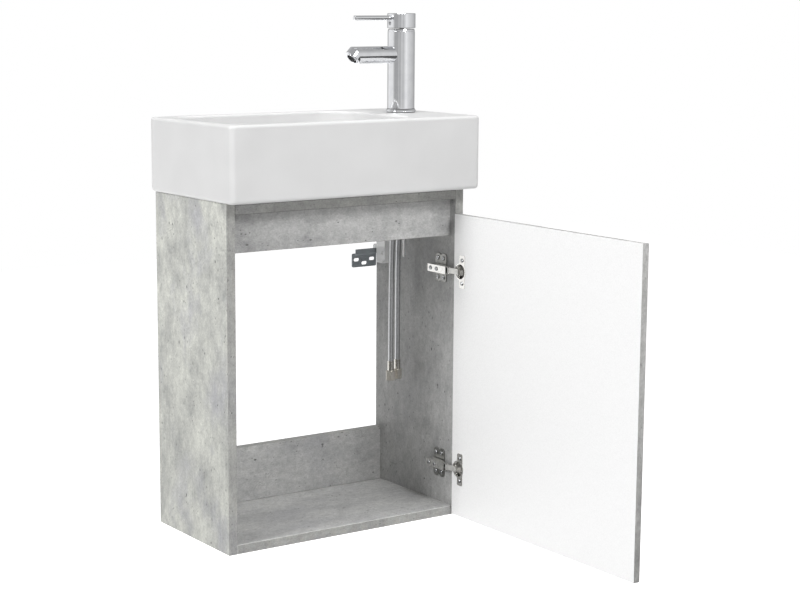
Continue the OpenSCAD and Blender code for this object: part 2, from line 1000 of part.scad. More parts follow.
// Outline of the hinge arm's flanges, with a round nose about the pivot
module arm_outline() {
    flange_low = block_top + 4;
    nose = arm_nose_r - 0.6;
    translate(arm_pivot)
        circle(arm_nose_r);
    polygon([[arm_pivot[0] - nose, arm_pivot[1]], [arm_top, arm_pivot[1] + 3], [arm_top, arm_tail - 2],
        [arm_top + 2, arm_tail], [flange_low, arm_tail], [flange_low, arm_step_y],
        [arm_pivot[0] + nose, arm_neck_y],
        [arm_pivot[0] + nose, arm_pivot[1]]]);
}

// Folded steel arm: a web over two flanges that hold the pivot pin at the nose
module hinge_arm(z) {
    color(chrome_colour)
        at_hinge(z)
            difference() {
                union() {
                    for (s = [-arm_out, arm_in])
                        translate([0, 0, s])
                            linear_extrude(arm_wall)
                                arm_outline();
                    translate([arm_top, arm_pivot[1] + 3, -arm_in])
                        cube([arm_wall, arm_tail - 5 - arm_pivot[1], 2 * arm_in]);
                }
                translate([arm_pivot[0], arm_pivot[1], -2 * arm_out])
                    cylinder(d = pin_d + 2 * fit_gap, h = 4 * arm_out, $fn = 32);
                for (y = arm_screw_ys)
                    translate([arm_top + 4, y, 0])
                        facing_in()
                            cylinder(d = arm_screw_d + 2 * fit_gap, h = 8, $fn = 32);
            }
}

module upper_hinge_arm() {
    hinge_arm(hinge_high_z);
}

module lower_hinge_arm() {
    hinge_arm(hinge_low_z);
}

module arm_pins() {
    color(steel_colour)
        for (z = hinge_zs)
            at_hinge(z)
                translate([arm_pivot[0], arm_pivot[1], 0])
                    pin(0, arm_out);
}

// Winged mounting plate with a raised block that the arm straddles
module hinge_plate(z) {
    block_z = arm_in - loose_gap / 2;
    color(steel_colour)
        at_hinge(z)
            difference() {
                union() {
                    translate([0, plate_set, 0])
                        facing_in()
                            linear_extrude(plate_t)
                                difference() {
                                    rounded_rect(2 * plate_reach, 2 * plate_half, plate_lobe_r);
                                    for (s = [-1, 1])
                                        translate([s * (plate_reach + 1.5), 0])
                                            circle(4);
                                }
                    translate([block_top, plate_set - block_d / 2, -block_z])
                        cube([-block_top - plate_t / 2, block_d, 2 * block_z]);
                    translate([arm_top + arm_wall, arm_screw_ys[1] - 5, -block_z])
                        cube([block_top - arm_top, 10, 2 * block_z]);
                }
                for (sy = [-1, 1])
                    for (sz = [-1, 1])
                        translate([cut, plate_set + sy * plate_screw_y, sz * plate_pitch / 2])
                            facing_in()
                                cylinder(d = plate_screw_d + 2 * fit_gap, h = 4, $fn = 32);
                for (y = arm_screw_ys)
                    translate([-plate_t - 1, y, 0])
                        facing_in()
                            cylinder(d = arm_screw_d + 2 * fit_gap, h = 2 * plate_half, $fn = 32);
            }
}

module upper_hinge_plate() {
    hinge_plate(hinge_high_z);
}

module lower_hinge_plate() {
    hinge_plate(hinge_low_z);
}

module plate_screws() {
    color(steel_colour)
        at_plate_screws()
            pan_screw(plate_screw_d, plate_screw_l, plate_head_d, plate_head_h, $fn = 32);
}

module arm_screws() {
    color(steel_colour)
        at_each_hinge()
            for (y = arm_screw_ys)
                translate([arm_top, y, 0])
                    facing_in()
                        pan_screw(arm_screw_d, -arm_top - plate_t - 2, arm_head_d, arm_head_h, $fn = 32);
}

// Round cup let into the door, with a flange for two screws and two ears for the link's pin
module hinge_cup(z) {
    inner_r = cup_d / 2 - cup_wall;
    color(steel_colour)
        at_hinge(z)
            difference() {
                union() {
                    translate([-door_step + cup_depth, cup_y, 0])
                        facing_in()
                            difference() {
                                union() {
                                    cylinder(d = cup_d, h = cup_depth);
                                    translate([0, 0, cup_depth])
                                        cylinder(d = cup_d + 2, h = flange_t);
                                }
                                translate([0, 0, cup_wall])
                                    cylinder(r = inner_r, h = cup_depth + flange_t);
                            }
                    difference() {
                        translate([-door_step, flange_y, 0])
                            facing_in()
                                linear_extrude(flange_t)
                                    rounded_rect(flange_h, flange_w, 3);
                        translate([0, cup_y, 0])
                            facing_in()
                                cylinder(r = inner_r, h = 20);
                    }
                    intersection() {
                        for (s = [0, 1])
                            mirror([0, 0, s])
                                translate([cup_pivot[0], cup_pivot[1], link_w / 2 + 0.5])
                                    cylinder(r = ear_r, h = cup_d, $fn = 32);
                        translate([cup_depth, cup_y, 0])
                            facing_in()
                                cylinder(r = inner_r + cup_wall / 2, h = cup_d + flange_w);
                    }
                }
                translate([cup_pivot[0], cup_pivot[1], -cup_d / 3])
                    cylinder(d = pin_d + 2 * fit_gap, h = 2 * cup_d / 3, $fn = 32);
                for (s = [-1, 1])
                    translate([0, flange_y, s * cup_screw_z])
                        facing_in()
                            cylinder(d = cup_screw_d + 2 * fit_gap, h = 10, $fn = 32);
            }
}

module upper_hinge_cup() {
    hinge_cup(hinge_high_z);
}

module lower_hinge_cup() {
    hinge_cup(hinge_low_z);
}

module cup_pins() {
    color(steel_colour)
        for (z = hinge_zs)
            at_hinge(z)
                translate([cup_pivot[0], cup_pivot[1], 0])
                    pin(0, cup_d / 3 - 0.2);
}

module cup_screws() {
    color(steel_colour)
        at_cup_screws()
            pan_screw(cup_screw_d, cup_screw_l, cup_head_d, cup_head_h, $fn = 32);
}

// Door, with its outer edges rounded over
module door_panel() {
    color(facing_colour)
        difference() {
            intersection() {
                translate([door_x, door_y - door_w, door_lift])
                    linear_extrude(door_h)
                        door_section(door_w);
                translate([door_x, door_y, door_lift])
                    rotate([90, 0, 0])
                        linear_extrude(door_w)
                            door_section(door_h);
            }
            at_each_hinge()
                translate([-door_step + cup_depth + fit_gap, cup_y, 0])
                    facing_in()
                        cylinder(d = cup_d + 2 * fit_gap, h = cup_depth + cut);
            at_cup_screws()
                translate([0, 0, -cup_screw_l - dowel_gap_z])
                    cylinder(d = cup_screw_d + 2 * fit_gap, h = cup_screw_l + flange_t + dowel_gap_z,
                        $fn = 32);
        }
}

// Cross-section of the door board, thickness along X, with both outer corners rounded
module door_section(length) {
    square([door_t - door_edge_r, length]);
    translate([0, door_edge_r])
        square([door_t, length - 2 * door_edge_r]);
    for (y = [door_edge_r, length - door_edge_r])
        translate([door_t - door_edge_r, y])
            circle(door_edge_r);
}

// Wall fixings

module mirrored(side) {
    mirror([side < 0 ? 1 : 0, 0, 0])
        children();
}

// Moulded housing on the side panel, stepped at its lower front corner
module hanger(side) {
    color(plastic_colour)
        mirrored(side)
            difference() {
                translate([inner_x - hanger_t, -hanger_set - hanger_d, hanger_z])
                    rotate([90, 0, 90])
                        linear_extrude(hanger_t)
                            polygon([[0, 5], [7, 5], [7, 0], [hanger_d, 0], [hanger_d, hanger_h - 3],
                                [hanger_d - 3, hanger_h], [3, hanger_h], [0, hanger_h - 3]]);
                translate([inner_x - hanger_t / 2 - hook_t / 2 - fit_gap, -hanger_set - hanger_d + 6,
                    hook_z - fit_gap])
                    cube([hook_t + 2 * fit_gap, hanger_d, hook_w + 2 * fit_gap]);
                for (z = [hanger_z + boss_low, hanger_z + boss_high])
                    translate([inner_x - hanger_t - cut, -hanger_set - hanger_d + 8, z])
                        rotate([0, 90, 0])
                            cylinder(d = 6, h = 4, $fn = 32);
            }
}

module left_hanger() {
    hanger(-1);
}

module right_hanger() {
    hanger(1);
}

// Flat steel hook that reaches from the housing over the wall plate's lip
module hanger_hook(side) {
    front = -hanger_set - hanger_d + 7;
    lip_front = -lip_jog - 2 * wall_plate_t - hook_clear;
    lip_back = -lip_jog - wall_plate_t + hook_clear;
    top = hook_z + hook_w;
    color(steel_colour)
        mirrored(side)
            translate([inner_x - hanger_t / 2 - hook_t / 2, 0, 0])
                rotate([90, 0, 90])
                    linear_extrude(hook_t)
                        difference() {
                            polygon([[front, hook_z], [lip_front, hook_z], [lip_front, hook_z + hook_notch],
                                [lip_back, hook_z + hook_notch], [lip_back, hook_z], [-1, hook_z],
                                [-1, top - 3], [-4, top], [front, top]]);
                            translate([-hanger_set - 8, hook_z + hook_w / 2])
                                circle(2);
                        }
}

module left_hanger_hook() {
    hanger_hook(-1);
}

module right_hanger_hook() {
    hanger_hook(1);
}

// Slotted steel plate for the wall, with a lip that stands off for the hook
module wall_plate(side) {
    body_h = plate_h - lip_h;
    color(dark_steel_colour)
        mirrored(side)
            translate([wall_plate_x, 0, wall_plate_z])
                difference() {
                    union() {
                        rotate([90, 0, 0])
                            linear_extrude(wall_plate_t)
                                translate([0, (body_h + 2) / 2])
                                    rounded_rect(plate_w, body_h + 2, 2.5);
                        translate([-plate_w / 2 + neck_inset, 0, 0])
                            rotate([90, 0, 90])
                                linear_extrude(plate_w - 2 * neck_inset)
                                    polygon([[0, body_h - 2], [-wall_plate_t, body_h - 2],
                                        [-wall_plate_t, body_h], [-wall_plate_t - lip_jog, body_h + 3],
                                        [-wall_plate_t - lip_jog, plate_h],
                                        [-2 * wall_plate_t - lip_jog, plate_h],
                                        [-2 * wall_plate_t - lip_jog, body_h + 2],
                                        [-2 * wall_plate_t, body_h - 1.5], [-wall_plate_t, body_h - 4],
                                        [0, body_h - 4]]);
                    }
                    for (s = [-1, 1])
                        translate([s * slot_spacing / 2, cut, slot_row_z - wall_plate_z])
                            rotate([90, 0, 0])
                                linear_extrude(wall_plate_t + 2 * cut)
                                    slot_shape(slot_l, slot_w);
                    translate([0, cut, slot_low_z - wall_plate_z])
                        rotate([90, 0, 0])
                            linear_extrude(wall_plate_t + 2 * cut)
                                slot_shape(slot_l, slot_w);
                }
}

module left_wall_plate() {
    wall_plate(-1);
}

module right_wall_plate() {
    wall_plate(1);
}

left_side_panel();
right_side_panel();
bottom_panel();
top_front_rail();
top_back_rail();
front_apron();
lower_wall_rail();
dowels();
basin();
tap_gasket();
tap_body();
spout();
aerator();
cartridge();
cartridge_stem();
lever_head();
lever_rod();
lever_spindle();
lever_grub_screw();
tap_rod();
clamp_washer();
clamp_nut();
hot_hose();
cold_hose();
hot_hose_nipple();
cold_hose_nipple();
hot_hose_ferrule();
cold_hose_ferrule();
hot_hose_nut();
cold_hose_nut();
door_panel();
upper_hinge_cup();
lower_hinge_cup();
cup_pins();
cup_screws();
upper_hinge_link();
lower_hinge_link();
upper_hinge_arm();
lower_hinge_arm();
arm_pins();
upper_hinge_plate();
lower_hinge_plate();
plate_screws();
arm_screws();
left_hanger();
right_hanger();
left_hanger_hook();
right_hanger_hook();
left_wall_plate();
right_wall_plate();
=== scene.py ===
"""Looks of a wall-hung cloakroom vanity unit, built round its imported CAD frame.

A faced-board cabinet with an open back carries a glazed basin with a lever mixer, and a door on
two concealed cup hinges. Names that end in mm and the sizes of the sub-assemblies are in
millimetres, and the studio's are in metres. X runs to the right, Y towards the wall and Z up.
"""

import json
import logging
import math
from dataclasses import dataclass, field
from enum import Enum
from typing import Sequence

import bmesh
import bpy
from mathutils import Matrix, Vector

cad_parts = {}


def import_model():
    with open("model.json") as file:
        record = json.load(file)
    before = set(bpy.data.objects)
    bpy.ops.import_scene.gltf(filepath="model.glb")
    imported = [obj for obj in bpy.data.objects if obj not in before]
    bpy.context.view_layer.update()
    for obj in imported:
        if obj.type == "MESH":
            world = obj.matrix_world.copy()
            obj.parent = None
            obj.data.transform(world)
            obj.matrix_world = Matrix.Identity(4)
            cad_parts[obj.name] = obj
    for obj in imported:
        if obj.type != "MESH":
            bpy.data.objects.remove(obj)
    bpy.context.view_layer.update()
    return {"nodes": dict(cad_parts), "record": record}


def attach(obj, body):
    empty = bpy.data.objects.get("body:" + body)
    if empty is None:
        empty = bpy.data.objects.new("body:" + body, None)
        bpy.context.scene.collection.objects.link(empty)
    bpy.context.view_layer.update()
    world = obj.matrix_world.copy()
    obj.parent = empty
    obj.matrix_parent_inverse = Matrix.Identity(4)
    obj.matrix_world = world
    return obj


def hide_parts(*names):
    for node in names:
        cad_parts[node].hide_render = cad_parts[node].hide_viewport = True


Tree = bpy.types.NodeTree
Node = bpy.types.Node
Socket = bpy.types.NodeSocket
Pair = tuple[float, float]
Triple = tuple[float, float, float]

LOG = logging.getLogger("vanity")
MM = 0.001
WHITE = "#ffffff"
BEVEL_SAMPLES = 4

# Sockets of the colour mixer, whose names are not unique
SHARE, FIRST, SECOND, MIXED = 0, 6, 7, 2

# The mixer's upright axis, in millimetres in the part's frame
TAP_X = 176.0
TAP_Y = -114.5


class Axis(Enum):
    """One of the part's axes."""

    X = 0
    Y = 1
    Z = 2


class Coordinates(Enum):
    """Where a finish takes its pattern's place from, both in metres."""

    UNWRAPPED = "UV"
    SOLID = "Object"


class BoardFace(Enum):
    """The finishes of a board, in the order of its material slots."""

    FACING = 0
    EDGING = 1
    ARRIS = 2


# Colour and nodes


def linear(hex_colour: str) -> tuple[float, float, float, float]:
    """Turns an sRGB hex colour into linear light.

    Args:
        hex_colour: Six hex digits with or without a leading hash.

    Returns:
        Red, green, blue and an alpha of 1.
    """
    digits = hex_colour.lstrip("#")
    channels = [int(digits[k:k + 2], 16) / 255 for k in (0, 2, 4)]
    red, green, blue = (c / 12.92 if c <= 0.04045 else ((c + 0.055) / 1.055) ** 2.4 for c in channels)
    return red, green, blue, 1.0


def add_node(tree: Tree, kind: str, inputs: dict | None = None, **settings: object) -> Node:
    """Adds one node with its settings, its values and the links that feed it.

    Args:
        tree: The node tree that gets the node.
        kind: The node's Blender type name.
        inputs: Values or output sockets, keyed by the input's name or index.
        settings: Properties of the node itself.

    Returns:
        The new node.
    """
    node = tree.nodes.new(kind)
    for name, value in settings.items():
        setattr(node, name, value)
    for key, value in (inputs or {}).items():
        if isinstance(value, bpy.types.NodeSocket):
            tree.links.new(value, node.inputs[key])
        else:
            node.inputs[key].default_value = value
    return node


def set_stops(ramp: Node, stops: Sequence[tuple[float, str]]) -> Socket:
    """Sets a colour ramp's stops.

    Args:
        ramp: A colour ramp node.
        stops: Position and hex colour of each stop, in order.

    Returns:
        The ramp's colour output.
    """
    elements = ramp.color_ramp.elements
    while len(elements) < len(stops):
        elements.new(0.5)
    for element, (position, colour) in zip(elements, stops):
        element.position = position
        element.color = linear(colour)
    return ramp.outputs["Color"]


def span(source: Pair, target: Pair) -> dict[str, float]:
    """Returns the inputs that map one range to another."""
    return {"From Min": source[0], "From Max": source[1], "To Min": target[0], "To Max": target[1]}


@dataclass(frozen=True)
class Cloud:
    """A cloudy pattern, whose largest patches have a real size.

    The bare pattern is a value around 0.5. Its two levels are the values at which it takes its
    first and its second tone.
    """

    size_mm: float
    detail: float = 2.0
    roughness: float = 0.5
    levels: Pair = (0.35, 0.6)
    tones: Pair = (0.0, 1.0)

    def drawn(self, tree: Tree, place: Socket) -> Socket:
        """Gives the bare pattern.

        Args:
            tree: The node tree that gets it.
            place: Coordinates in metres.

        Returns:
            A value around 0.5.
        """
        inputs = {"Vector": place, "Scale": 1 / (self.size_mm * MM), "Detail": self.detail,
                  "Roughness": self.roughness}
        return add_node(tree, "ShaderNodeTexNoise", inputs).outputs["Fac"]

    def toned(self, tree: Tree, place: Socket) -> Socket:
        """Gives the pattern as a value between its two tones.

        Args:
            tree: The node tree that gets it.
            place: Coordinates in metres.

        Returns:
            A value that stays within the tones.
        """
        inputs = {"Value": self.drawn(tree, place), **span(self.levels, self.tones)}
        return add_node(tree, "ShaderNodeMapRange", inputs).outputs["Result"]

    def coloured(self, tree: Tree, place: Socket, first: str, second: str) -> tuple[Socket, Socket]:
        """Gives the pattern in two colours.

        Args:
            tree: The node tree that gets it.
            place: Coordinates in metres.
            first: Hex colour at the first level.
            second: Hex colour at the second level.

        Returns:
            The colour, and the bare pattern for a relief or a gloss that follows it.
        """
        pattern = self.drawn(tree, place)
        ramp = add_node(tree, "ShaderNodeValToRGB", {"Fac": pattern})
        return set_stops(ramp, list(zip(self.levels, (first, second)))), pattern


# Finishes


@dataclass(frozen=True)
class Finish:
    """A finish, named for what the real surface is and how it was made."""

    name: str

    def build(self) -> bpy.types.Material:
        """Returns the finish as a new material."""
        material = bpy.data.materials.new(self.name)
        material.use_nodes = True
        tree = material.node_tree
        self.paint(tree, tree.nodes["Principled BSDF"])
        return material

    def paint(self, tree: Tree, shader: Node) -> None:
        """Adds the finish's nodes and sets its shader."""
        raise NotImplementedError

    def place(self, tree: Tree, source: Coordinates, stretch: Sequence[float] = (1, 1, 1)) -> Socket:
        """Gives a pattern's coordinates.

        Args:
            tree: The finish's node tree.
            source: Unwrapped or solid coordinates.
            stretch: Factor on each axis, below 1 where the pattern is long.

        Returns:
            A vector output in metres.
        """
        coordinates = add_node(tree, "ShaderNodeTexCoord").outputs[source.value]
        mapping = add_node(tree, "ShaderNodeMapping", {"Vector": coordinates, "Scale": stretch})
        return mapping.outputs["Vector"]


@dataclass(frozen=True)
class ConcretePrintMelamine(Finish):
    """Melamine-faced chipboard with a printed cast-concrete look.

    The print gives soft clouds, pale or dark and here and there bluish, over a fine grain, with
    dark specks in clusters, a few blowholes and faint hairlines, under a dull seal. A stretch
    below 1 draws a pattern out along the print, and a reach or a width is a share of its cell.
    A slow wave of painted shade runs along the print: it is palest at the wave's peak and again after every
    wavelength.
    """

    pale: str = "#d6d7cf"
    middle: str = "#c2c3bd"
    dark: str = "#a3a4a1"
    cool: str = "#aaaab1"
    speck: str = "#5e5f5d"
    hole: str = "#4c4d4a"
    cloud_mm: float = 60.0
    cloud_stops: Triple = (0.36, 0.5, 0.64)
    cloud_stretch: float = 0.6
    tint: Cloud = Cloud(85.0, detail=6.0, roughness=0.6, levels=(0.52, 0.66), tones=(0.0, 0.6))
    mottle: Cloud = Cloud(8.0, detail=4.0, roughness=0.7, levels=(0.3, 0.7), tones=(0.83, 1.13))
    grain: Cloud = Cloud(2.2, detail=2.0, roughness=0.7, levels=(0.3, 0.7), tones=(0.84, 1.14))
    comb: Cloud = Cloud(5.0, detail=3.0, roughness=0.6, levels=(0.3, 0.7), tones=(0.95, 1.04))
    comb_stretch: float = 0.12
    shade_wave_mm: float = 950.0
    shade_peak_mm: float = 500.0
    shade_wave_range: Pair = (0.86, 1.06)
    speck_mm: float = 9.0
    speck_reach: float = 0.24
    pin_reach: float = 0.27
    cluster_share: float = 0.6
    hole_mm: float = 28.0
    hole_reach: float = 0.08
    hole_relief: float = 0.3
    relief_mm: float = 0.2
    dot_picks: Pair = (0.5, 0.8)
    dot_core: float = 1.7
    crack_mm: float = 130.0
    crack_width: float = 0.006
    crack_strength: float = 0.35
    crack_shows: Pair = (0.5, 0.62)
    wander_mm: float = 40.0
    wander_shift_mm: float = 50.0
    roughness: float = 0.5
    source: Coordinates = Coordinates.UNWRAPPED

    @property
    def along(self) -> Axis:
        """The axis of the pattern's coordinates along which the print was drawn out."""
        return Axis.Z if self.source is Coordinates.SOLID else Axis.Y

    def drawn_out(self, tree: Tree, factor: float) -> Socket:
        """Gives coordinates that stretch a pattern along the print."""
        return self.place(tree, self.source, [factor if axis is self.along else 1.0 for axis in Axis])

    def paint(self, tree: Tree, shader: Node) -> None:
        """Adds the finish's nodes and sets its shader.

        Args:
            tree: The finish's node tree.
            shader: Its main shader.
        """
        body, holes = self.printed(tree)
        bump = add_node(tree, "ShaderNodeBump", {"Height": holes, "Strength": self.hole_relief,
                                                 "Distance": self.relief_mm * MM}, invert=True)
        tree.links.new(body, shader.inputs["Base Color"])
        tree.links.new(bump.outputs["Normal"], shader.inputs["Normal"])
        shader.inputs["Roughness"].default_value = self.roughness

    def printed(self, tree: Tree) -> tuple[Socket, Socket]:
        """Draws the printed pattern.

        Args:
            tree: The finish's node tree.

        Returns:
            The print's colour and the strength of its blowholes.
        """
        plain = self.place(tree, self.source)
        drawn = self.drawn_out(tree, self.cloud_stretch)
        combed = self.drawn_out(tree, self.comb_stretch)
        clouds = Cloud(self.cloud_mm, detail=8.0, roughness=0.68).drawn(tree, drawn)
        body = set_stops(add_node(tree, "ShaderNodeValToRGB", {"Fac": clouds}),
                         list(zip(self.cloud_stops, (self.dark, self.middle, self.pale))))
        bluish = {SHARE: self.tint.toned(tree, drawn), FIRST: body, SECOND: linear(self.cool)}
        body = add_node(tree, "ShaderNodeMix", bluish, data_type="RGBA").outputs[MIXED]
        # Painted shade in a slow wave along the print
        shade = self.shade_wave(tree, plain)
        for layer, place in ((self.mottle, drawn), (self.grain, drawn), (self.comb, combed)):
            inputs = {0: shade, 1: layer.toned(tree, place)}
            shade = add_node(tree, "ShaderNodeMath", inputs, operation="MULTIPLY").outputs["Value"]
        shaded = add_node(tree, "ShaderNodeVectorMath", {0: body, 1: shade}, operation="MULTIPLY")
        body = shaded.outputs["Vector"]
        holes = self.dots(tree, plain, self.hole_mm, self.hole_reach)
        for strength, colour in ((self.marks(tree, plain, drawn), self.speck), (holes, self.hole)):
            inputs = {SHARE: strength, FIRST: body, SECOND: linear(colour)}
            body = add_node(tree, "ShaderNodeMix", inputs, data_type="RGBA").outputs[MIXED]
        return body, holes

    def shade_wave(self, tree: Tree, place: Socket) -> Socket:
        """Gives a slow wave of painted shade along the print, which darkens the left side towards the bottom.

        Args:
            tree: The finish's node tree.
            place: Coordinates in metres.

        Returns:
            A factor for the print's colour.
        """
        length = add_node(tree, "ShaderNodeSeparateXYZ", {"Vector": place}).outputs[self.along.name]
        rate = math.tau / (self.shade_wave_mm * MM)
        turn = add_node(tree, "ShaderNodeMath", {0: length, 1: rate, 2: -self.shade_peak_mm * MM * rate},
                        operation="MULTIPLY_ADD").outputs["Value"]
        wave = add_node(tree, "ShaderNodeMath", {0: turn}, operation="COSINE").outputs["Value"]
        inputs = {"Value": wave, **span((-1.0, 1.0), self.shade_wave_range)}
        return add_node(tree, "ShaderNodeMapRange", inputs).outputs["Result"]

    def marks(self, tree: Tree, plain: Socket, drawn: Socket) -> Socket:
        """Gives the strength of the specks, which come in clusters, and of the hairlines.

        Args:
            tree: The finish's node tree.
            plain: Coordinates in metres.
            drawn: The same, stretched along the print.

        Returns:
            A strength of about 1 in a speck and 0 on the bare print.
        """
        clusters = Cloud(self.cloud_mm * self.cluster_share, detail=3.0, roughness=0.6,
                         levels=(0.47, 0.58), tones=(0.1, 1.0)).toned(tree, plain)
        marks = self.dots(tree, drawn, self.speck_mm, self.speck_reach)
        pins = self.dots(tree, drawn, self.speck_mm / 2, self.pin_reach)
        cracks = self.cracks(tree, plain)
        for operation, other in (("MAXIMUM", pins), ("MULTIPLY", clusters), ("MAXIMUM", cracks)):
            both = add_node(tree, "ShaderNodeMath", {0: marks, 1: other}, operation=operation)
            marks = both.outputs["Value"]
        return marks

    def dots(self, tree: Tree, place: Socket, cell_mm: float, reach: float) -> Socket:
        """Scatters round dark dots, of which many cells have none.

        Args:
            tree: The finish's node tree.
            place: Coordinates in metres.
            cell_mm: Size of the cells, of which each holds one dot at most.
            reach: Radius of the largest dot as a share of its cell.

        Returns:
            The dots' strength.
        """
        cells = add_node(tree, "ShaderNodeTexVoronoi", {"Vector": place, "Scale": 1 / (cell_mm * MM)})
        pick = add_node(tree, "ShaderNodeSeparateColor", {"Color": cells.outputs["Color"]}).outputs["Red"]
        inputs = {"Value": pick, **span(self.dot_picks, (0.0, reach))}
        radius = add_node(tree, "ShaderNodeMapRange", inputs).outputs["Result"]
        inputs = {"Value": cells.outputs["Distance"], "From Max": radius, "To Min": self.dot_core,
                  "To Max": 0.0}
        return add_node(tree, "ShaderNodeMapRange", inputs).outputs["Result"]

    def cracks(self, tree: Tree, place: Socket) -> Socket:
        """Draws the faint hairlines, which wander, come and go.

        Args:
            tree: The finish's node tree.
            place: Coordinates in metres.

        Returns:
            The hairlines' strength.
        """
        wander = add_node(tree, "ShaderNodeTexNoise", {"Vector": place, "Scale": 1 / (self.wander_mm * MM),
                                                       "Detail": 4.0})
        shift = self.wander_shift_mm * MM
        bend = add_node(tree, "ShaderNodeVectorMath", {0: wander.outputs["Color"], 1: (shift, shift, 0.0)},
                        operation="MULTIPLY").outputs["Vector"]
        bent = add_node(tree, "ShaderNodeVectorMath", {0: place, 1: bend}, operation="ADD").outputs["Vector"]
        edges = add_node(tree, "ShaderNodeTexVoronoi", {"Vector": bent, "Scale": 1 / (self.crack_mm * MM)},
                         feature="DISTANCE_TO_EDGE").outputs["Distance"]
        line = add_node(tree, "ShaderNodeMapRange",
                        {"Value": edges, **span((0.0, self.crack_width), (self.crack_strength, 0.0))})
        shows = add_node(tree, "ShaderNodeMapRange",
                         {"Value": wander.outputs["Fac"], **span(self.crack_shows, (0.0, 1.0))})
        inputs = {0: line.outputs["Result"], 1: shows.outputs["Result"]}
        return add_node(tree, "ShaderNodeMath", inputs, operation="MULTIPLY").outputs["Value"]


@dataclass(frozen=True)
class DoorFacing(ConcretePrintMelamine):
    """Facings of the door in one: white melamine inside and the concrete print round the rest.

    The white has a pearl grain, which is drawn coarser than the real one so that it shows.
    """

    white: str = "#f8f8f8"
    pearl: str = "#f1f1f1"
    inner_mm: float = 203.5
    overlap_mm: float = 0.3
    pearl_mm: float = 1.4
    pearl_relief: float = 0.12

    def paint(self, tree: Tree, shader: Node) -> None:
        """Adds the finish's nodes and sets its shader.

        Args:
            tree: The finish's node tree.
            shader: Its main shader.
        """
        body, _ = self.printed(tree)
        place = self.place(tree, self.source)
        white, grain = Cloud(self.pearl_mm).coloured(tree, place, self.pearl, self.white)
        depth = add_node(tree, "ShaderNodeSeparateXYZ", {"Vector": place}).outputs["X"]
        inside = add_node(tree, "ShaderNodeMath", {0: depth, 1: (self.inner_mm + self.overlap_mm) * MM},
                          operation="LESS_THAN").outputs["Value"]
        both = add_node(tree, "ShaderNodeMix", {SHARE: inside, FIRST: body, SECOND: white}, data_type="RGBA")
        bump = add_node(tree, "ShaderNodeBump", {"Height": grain, "Strength": self.pearl_relief,
                                                 "Distance": self.relief_mm * MM})
        tree.links.new(both.outputs[MIXED], shader.inputs["Base Color"])
        tree.links.new(bump.outputs["Normal"], shader.inputs["Normal"])
        shader.inputs["Roughness"].default_value = self.roughness


@dataclass(frozen=True)
class GlazedCeramic(Finish):
    """Vitreous china under a clear glaze, whose surface rolls very slightly."""

    colour: str = "#dadada"
    pool: str = "#d6d6d6"
    wave: Cloud = Cloud(55.0, detail=1.0, levels=(0.3, 0.7))
    wave_relief: float = 0.2
    wave_relief_mm: float = 0.8
    body_roughness: float = 0.35
    glaze: float = 0.45
    glaze_roughness: float = 0.28

    def paint(self, tree: Tree, shader: Node) -> None:
        """Adds the finish's nodes and sets its shader.

        Args:
            tree: The finish's node tree.
            shader: Its main shader.
        """
        place = self.place(tree, Coordinates.SOLID)
        tone, wave = self.wave.coloured(tree, place, self.pool, self.colour)
        bump = add_node(tree, "ShaderNodeBump", {"Height": wave, "Strength": self.wave_relief,
                                                 "Distance": self.wave_relief_mm * MM})
        tree.links.new(tone, shader.inputs["Base Color"])
        tree.links.new(bump.outputs["Normal"], shader.inputs["Coat Normal"])
        shader.inputs["Roughness"].default_value = self.body_roughness
        shader.inputs["Coat Weight"].default_value = self.glaze
        shader.inputs["Coat Roughness"].default_value = self.glaze_roughness


@dataclass(frozen=True)
class PlatedMetal(Finish):
    """Plated metal, polished or satin, with handling marks in its gloss and eased edges."""

    colour: str = "#e7e8ea"
    film: str = "#e0e1e4"
    roughness: float = 0.05
    haze: float = 0.08
    mark_mm: float = 14.0
    mark_levels: Pair = (0.35, 0.7)
    edge_mm: float = 0.4

    def paint(self, tree: Tree, shader: Node) -> None:
        """Adds the finish's nodes and sets its shader.

        Args:
            tree: The finish's node tree.
            shader: Its main shader.
        """
        place = self.place(tree, Coordinates.SOLID)
        tone, marks = Cloud(self.mark_mm, detail=4.0).coloured(tree, place, self.film, self.colour)
        inputs = {"Value": marks, **span(self.mark_levels, (self.roughness, self.haze))}
        gloss = add_node(tree, "ShaderNodeMapRange", inputs)
        eased = add_node(tree, "ShaderNodeBevel", {"Radius": self.edge_mm * MM}, samples=BEVEL_SAMPLES)
        tree.links.new(self.joint_shaded(tree, tone), shader.inputs["Base Color"])
        tree.links.new(gloss.outputs["Result"], shader.inputs["Roughness"])
        tree.links.new(eased.outputs["Normal"], shader.inputs["Normal"])
        shader.inputs["Metallic"].default_value = 1.0

    def joint_shaded(self, tree: Tree, tone: Socket) -> Socket:
        """Gives the metal's colour, into which a finish may paint shade where parts meet."""
        return tone


@dataclass(frozen=True)
class TapChrome(PlatedMetal):
    """Polished chrome of the mixer, with painted shade in the joint under its lever head and at its foot
    ring.

    Each joint has its height and half of its width, in millimetres in the part's frame.
    """

    # Near black of the painted shade in the joints
    joint_shade: str = "#161617"
    joints: tuple[Pair, ...] = ((802.0, 1.3), (671.1, 0.45))

    def joint_shaded(self, tree: Tree, tone: Socket) -> Socket:
        """Paints shade into the metal at each joint.

        Args:
            tree: The finish's node tree.
            tone: The metal's colour.

        Returns:
            The colour with painted shade in its joints.
        """
        split = add_node(tree, "ShaderNodeSeparateXYZ", {"Vector": self.place(tree, Coordinates.SOLID)})
        for height_mm, half_mm in self.joints:
            inputs = {0: split.outputs["Z"], 1: height_mm * MM, 2: half_mm * MM}
            near = add_node(tree, "ShaderNodeMath", inputs, operation="COMPARE").outputs["Value"]
            inputs = {SHARE: near, FIRST: tone, SECOND: linear(self.joint_shade)}
            tone = add_node(tree, "ShaderNodeMix", inputs, data_type="RGBA").outputs[MIXED]
        return tone


